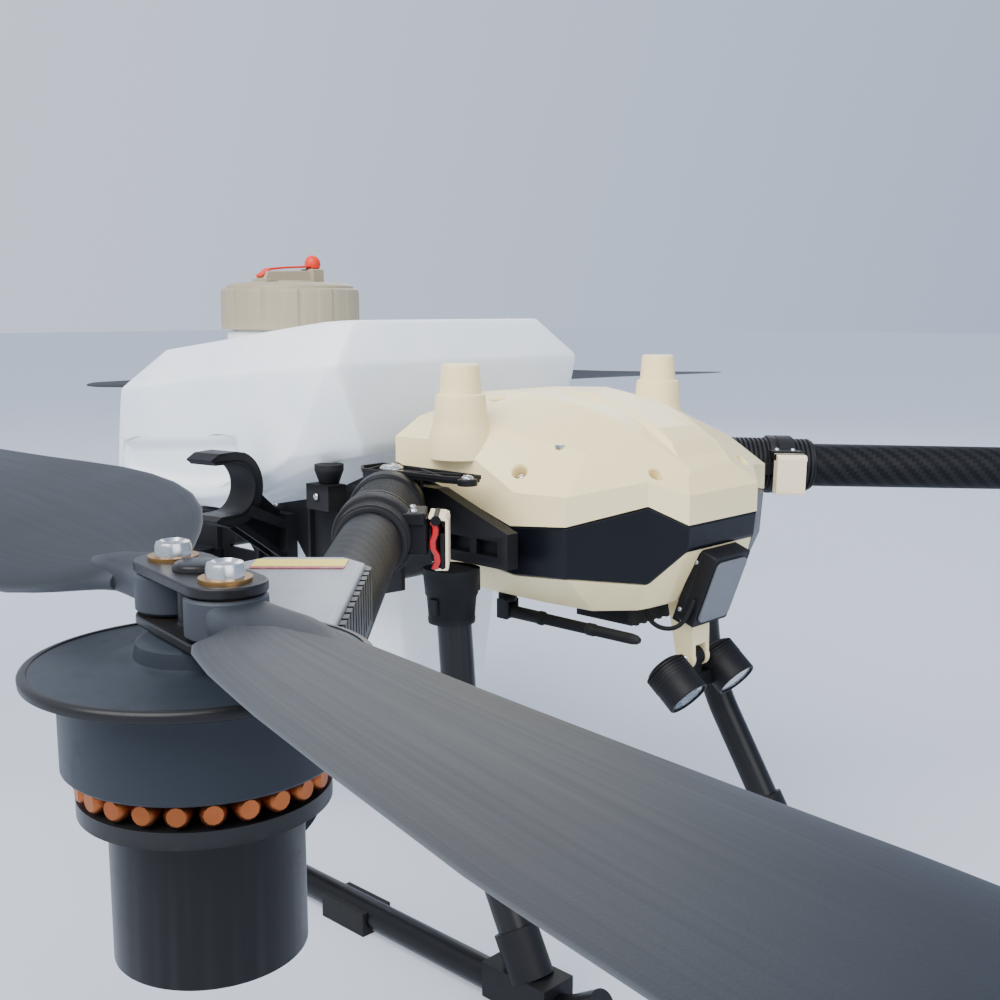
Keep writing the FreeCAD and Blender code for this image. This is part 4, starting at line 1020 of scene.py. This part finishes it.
def antenna():
    """The whip and the stub that it folds from."""
    at = Vector((-110, -280, 327))
    bm = new()
    add_lathe(bm, [(0, 0), (0, 5.4), (1, 6.2), (40, 6.0), (42, 6.8), (46, 6.8), (48, 5.4), (100, 5.2),
        (101, 5.9), (108, 5.9), (109, 5.2), (150, 5.0), (156, 4.2), (159, 2.6), (160, 0)], at, (0, -1, 0),
        28)
    add_lathe(bm, [(-5, 0), (-5, 7), (-4, 8), (4, 8), (5, 7), (5, 0)], at, (1, 0, 0), 32)
    piece("antenna_whip", bm, "antenna", RUBBER, smooth=35, replaces=["antenna_rod"])
    bm = new()
    ribbed = [(10, 0), (10, 8.6), (13, 9.0)]
    for k in range(6):
        ribbed += [(13.5 + 1.6 * k, 9.2), (14.3 + 1.6 * k, 8.5)]
    ribbed += [(24, 8.4), (25, 7.4), (31, 7.4), (31, 0)]
    add_lathe(bm, ribbed, at, UP, 36)
    for s in (-1, 1):
        add_box(bm, (at.x + s * 7.1 - 1.8, at.y - 7.5, at.z - 6.5),
            (at.x + s * 7.1 + 1.8, at.y + 7.5, at.z + 12), 1.5)
    piece("antenna_stub", bm, "frame", BLACK, replaces=["antenna_base"])


CABLE_ROUTE = [(-48, -398, 341), (-50, -402, 330), (-46, -414, 321), (-38, -428, 322), (-32, -437, 336),
    (-29.2, -440, 350)]
CABLE_LENGTH, CABLE_DIAMETER = 0.0725, 0.0044


def radar_cable():
    """The short lead from the terminal box up to the radar."""
    curve = bpy.data.curves.new("radar_cable_line", "CURVE")
    curve.dimensions = "3D"
    spline = curve.splines.new("NURBS")
    spline.points.add(len(CABLE_ROUTE) - 1)
    for point, at in zip(spline.points, CABLE_ROUTE):
        point.co = (*place(at), 1.0)
    spline.order_u = 3
    spline.use_endpoint_u = True
    spline.resolution_u = 16
    curve.bevel_depth = CABLE_DIAMETER / 2
    curve.bevel_resolution = 5
    curve.use_fill_caps = True
    curve.materials.append(RUBBER)
    obj = add_object("radar_lead", curve)
    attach(obj, "frame")
    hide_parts("radar_cable")
    place(CABLE_ROUTE[0])


radar_cable()
radar()
lamps()
antenna()


# ---------------------------------------------------------------- arm hooks and small frame parts
HOOK_X, HOOK_Z, FOLDED_SPLAY = 240, 432.5, 10.5


def hook(side):
    """An I-section C hook: wide inner and outer flanges, a thin web and a fan of radial ribs."""
    centre = Matrix.Translation((-HOOK_X * side, 0, HOOK_Z)) @ Matrix.Diagonal((side, 1, 1, 1))
    matrix = centre @ Matrix.Rotation(math.radians(FOLDED_SPLAY), 4, "Z")
    bm = new()
    inner = [(-28, 29.6)] + arc(29.2, range(0, 181, 10)) + [(-22, -29.6)]
    outer = arc(37, range(20, 161, 10))
    outer = [(-33, 31), (-22, 36.5), (0, 37)] + outer + [(0, -36.5), (-10, -38), (-29, -31)]
    fan = range(-10, 200, 22)
    slats = [(a, b, 18, 3.0) for band in (inner, outer) for a, b in zip(band, band[1:])]
    slats += [(a, b, 15, 1.8) for a, b in zip(arc(29.5, fan), arc(36, fan))]
    for a, b, half, thick in slats:
        add_bar(bm, (a[0], -half, a[1]), (b[0], -half, b[1]), (0, 2 * half, 0), thick, 0.4)
    piece("hook_cradle_" + ("right" if side > 0 else "left"), bm, "frame", BLACK, matrix, bevel=0.6)


def arc(radius, degrees):
    """Points at angles from the top, round the hook's axis."""
    return [(radius * math.sin(math.radians(a)), radius * math.cos(math.radians(a))) for a in degrees]


def add_bar(bm, a, b, push, thick, reach):
    """A thin plate on the line from a to b, carried a little past both, as deep as the push."""
    a, b = Vector(a), Vector(b)
    along = (b - a).normalized()
    over = along.cross(Vector(push).normalized()) * thick / 2
    a, b = a - along * reach, b + along * reach
    add_prism(bm, [a - over, b - over, b + over, a + over], push)


hook(1)
hook(-1)


def bracket_ribs():
    """The ribbed top plates over the front hinges, with the forward ear, and the hinge bolts' washers."""
    for side in (1, -1):
        matrix = Matrix.Diagonal((side, 1, 1, 1))
        bm = new()
        plate = [(-186, -188), (-214, -190), (-226, -206), (-226, -224), (-216, -240), (-212, -300),
            (-206, -318), (-186, -318)]
        add_prism(bm, [(x, y, 463.2) for x, y in plate], (0, 0, 3.4))
        lines = [(a, b, 4.0, 2.4) for a, b in zip(plate, plate[1:] + plate[:1])]
        lines += [(a, b, 3.4, 1.8) for a, b in (((-188, -244), (-210, -296)), ((-210, -244), (-188, -296)),
            ((-188, -300), (-206, -316)), ((-186, -192), (-222, -208)))]
        for a, b, tall, thick in lines:
            add_bar(bm, (*a, 466), (*b, 466), (0, 0, tall), thick, 0.5)
        add_lathe(bm, [(463, 0), (463, 9), (468, 9), (469, 8), (469, 0)], (-206, -322, 0), UP, 32)
        name = "right" if side > 0 else "left"
        piece("hinge_top_plate_" + name, bm, "frame", BLACK, matrix, bevel=0.7)
        bm = new()
        add_screw(bm, (-200, -216, 467), UP, 11.5, 5.0)
        add_screw(bm, (-206, -322, 469), UP, 5.4, 3.0)
        add_screw(bm, (-200, 216, 341.5), UP, 11.5, 5.0)
        add_screw(bm, (-170 - 17.5, -85, 426), (-1, 0, 0), 3.6, 2.0)
        add_screw(bm, (-171, 8, 404), (-1, 0, 0), 4.5, 2.4)
        piece("bracket_screws_" + name, bm, "frame", STEEL, matrix)


bracket_ribs()


def leg_sockets():
    """Tapered leg sockets, rounded square above and round below, each with a boss and a strap."""
    for y, top in ((-290, 384), (140, 344)):
        for side in (1, -1):
            bm = new()
            x, sections = -195 * side, []
            for down, half, power in ((0, 23.4, 0.7), (6, 23.6, 0.75), (24, 22.8, 0.85), (26, 22.0, 0.9),
                    (44, 21.2, 1.0), (46, 21.8, 1.0), (50, 21.4, 1.0), (50, 16.2, 1.0)):
                sections.append((Vector((x, y, top - down)), half, half, power))
            add_squared_loft(bm, sections, Vector((1, 0, 0)), Vector((0, 1, 0)), 48)
            near, far = sorted((x - 24.5 * side, x - 19 * side))
            add_box(bm, (near, y - 5, top - 40), (far, y + 5, top - 26), 1)
            name = "leg_socket_%s_%s" % ("front" if y < 0 else "rear", "right" if side > 0 else "left")
            piece(name, bm, "frame", BLACK, smooth=28, replaces=["leg_sockets"])
            bm = new()
            inner = -174 * side if y < 0 else -163 * side
            low_x, high_x = sorted((inner, x + 8 * side))
            add_box(bm, (low_x, y - 18, top - 22), (high_x, y + 18, top - 2), 2)
            piece(name + "_strap", bm, "frame", BLACK, bevel=1.5)


leg_sockets()


# ---------------------------------------------------------------- finishes for the CAD nodes that show
FINISHES = {"side_plates": (BLACK, 1.2), "cross_beams": (ANODISED, 0.3), "hinge_brackets": (BLACK, 1.0),
    "fasteners": (STEEL, 0.4), "landing_legs": (LEG_PAINT, 0), "leg_feet": (BLACK, 1.2),
    "skid_tubes": (LEG_PAINT, 0), "skid_pads": (RUBBER, 1.5), "arm_hook_right": (BLACK, 0.8),
    "arm_hook_left": (BLACK, 0.8), "tank_seats": (RUBBER, 1.0), "rear_housing": (CREAM, 2.0),
    "pumps": (BLACK, 1.2), "liquid_hoses": (RUBBER, 0), "radar_bracket": (CREAM, 0.8),
    "battery_pack": (BATTERY, 2.5), "flight_electronics": (BLACK, 1.0)}
ENDINGS = {"motor_pod": (ANODISED, 0.8), "nozzle": (BLACK, 0.6), "nozzle_disc": (STEEL, 0.2)}


NODE_SMOOTH = 32


def finish_node(obj, material, bevel):
    """A material and rounded edges on a CAD node that shows."""
    obj.data.materials.clear()
    obj.data.materials.append(material)
    obj.data.set_sharp_from_angle(angle=math.radians(NODE_SMOOTH))
    if bevel:
        round_edges(obj, bevel, 2, NODE_SMOOTH)


for node, obj in frame["nodes"].items():
    by_ending = [look for ending, look in ENDINGS.items() if node.endswith("_" + ending)]
    looks = [FINISHES[node]] if node in FINISHES else by_ending
    if looks and not obj.hide_render:
        finish_node(obj, *looks[0])


# ---------------------------------------------------------------- stage
def stage():
    """The pale floor, the studio wash and three soft lights."""
    mesh = bpy.data.meshes.new("floor")
    mesh.from_pydata([(-30, -30, 0), (30, -30, 0), (30, 30, 0), (-30, 30, 0)], [], [(0, 1, 2, 3)])
    floor = add_object("floor", mesh)
    n = Nodes("studio_floor")
    n.colour(n.ramp(n.noise(1.5, 3.0), rgb(172, 179, 191), rgb(176, 183, 195)))
    n.set(Roughness=0.95, Specular_IOR_Level=0.1, Emission_Color=rgb(204, 212, 226), Emission_Strength=0.5)
    mesh.materials.append(n.material)
    world = bpy.data.worlds.new("studio")
    world.use_nodes = True
    tree = world.node_tree
    coords = tree.nodes.new("ShaderNodeTexCoord")
    across = tree.nodes.new("ShaderNodeVectorMath")
    across.operation = "DOT_PRODUCT"
    across.inputs[1].default_value = (0.69, -0.72, -0.25)
    tree.links.new(coords.outputs["Generated"], across.inputs[0])
    wash = tree.nodes.new("ShaderNodeValToRGB")
    wash.color_ramp.elements[0].color = rgb(211, 220, 238)
    wash.color_ramp.elements[1].color = rgb(166, 182, 210)
    wash.color_ramp.elements[0].position = 0.25
    wash.color_ramp.elements[1].position = 0.75
    spread = tree.nodes.new("ShaderNodeMapRange")
    spread.inputs["From Min"].default_value = -0.9
    spread.inputs["From Max"].default_value = 0.9
    tree.links.new(across.outputs["Value"], spread.inputs["Value"])
    tree.links.new(spread.outputs["Result"], wash.inputs["Fac"])
    tree.links.new(wash.outputs["Color"], tree.nodes["Background"].inputs["Color"])
    tree.nodes["Background"].inputs["Strength"].default_value = 1.32
    bpy.context.scene.world = world
    for name, at, size, power in (("key", (-2.6, -0.6, 3.4), 3.2, 270),
            ("fill", (-1.2, -4.2, 2.2), 3.0, 75), ("rim", (3.4, 2.4, 2.8), 2.6, 60)):
        light = bpy.data.lights.new(name, "AREA")
        light.size = size
        light.energy = power
        light.color = (1.0, 0.985, 0.96)
        obj = add_object(name, light)
        obj.location = at
        obj.rotation_euler = (Vector((0, -0.1, 0.35)) - Vector(at)).to_track_quat("-Z", "Y").to_euler()


stage()
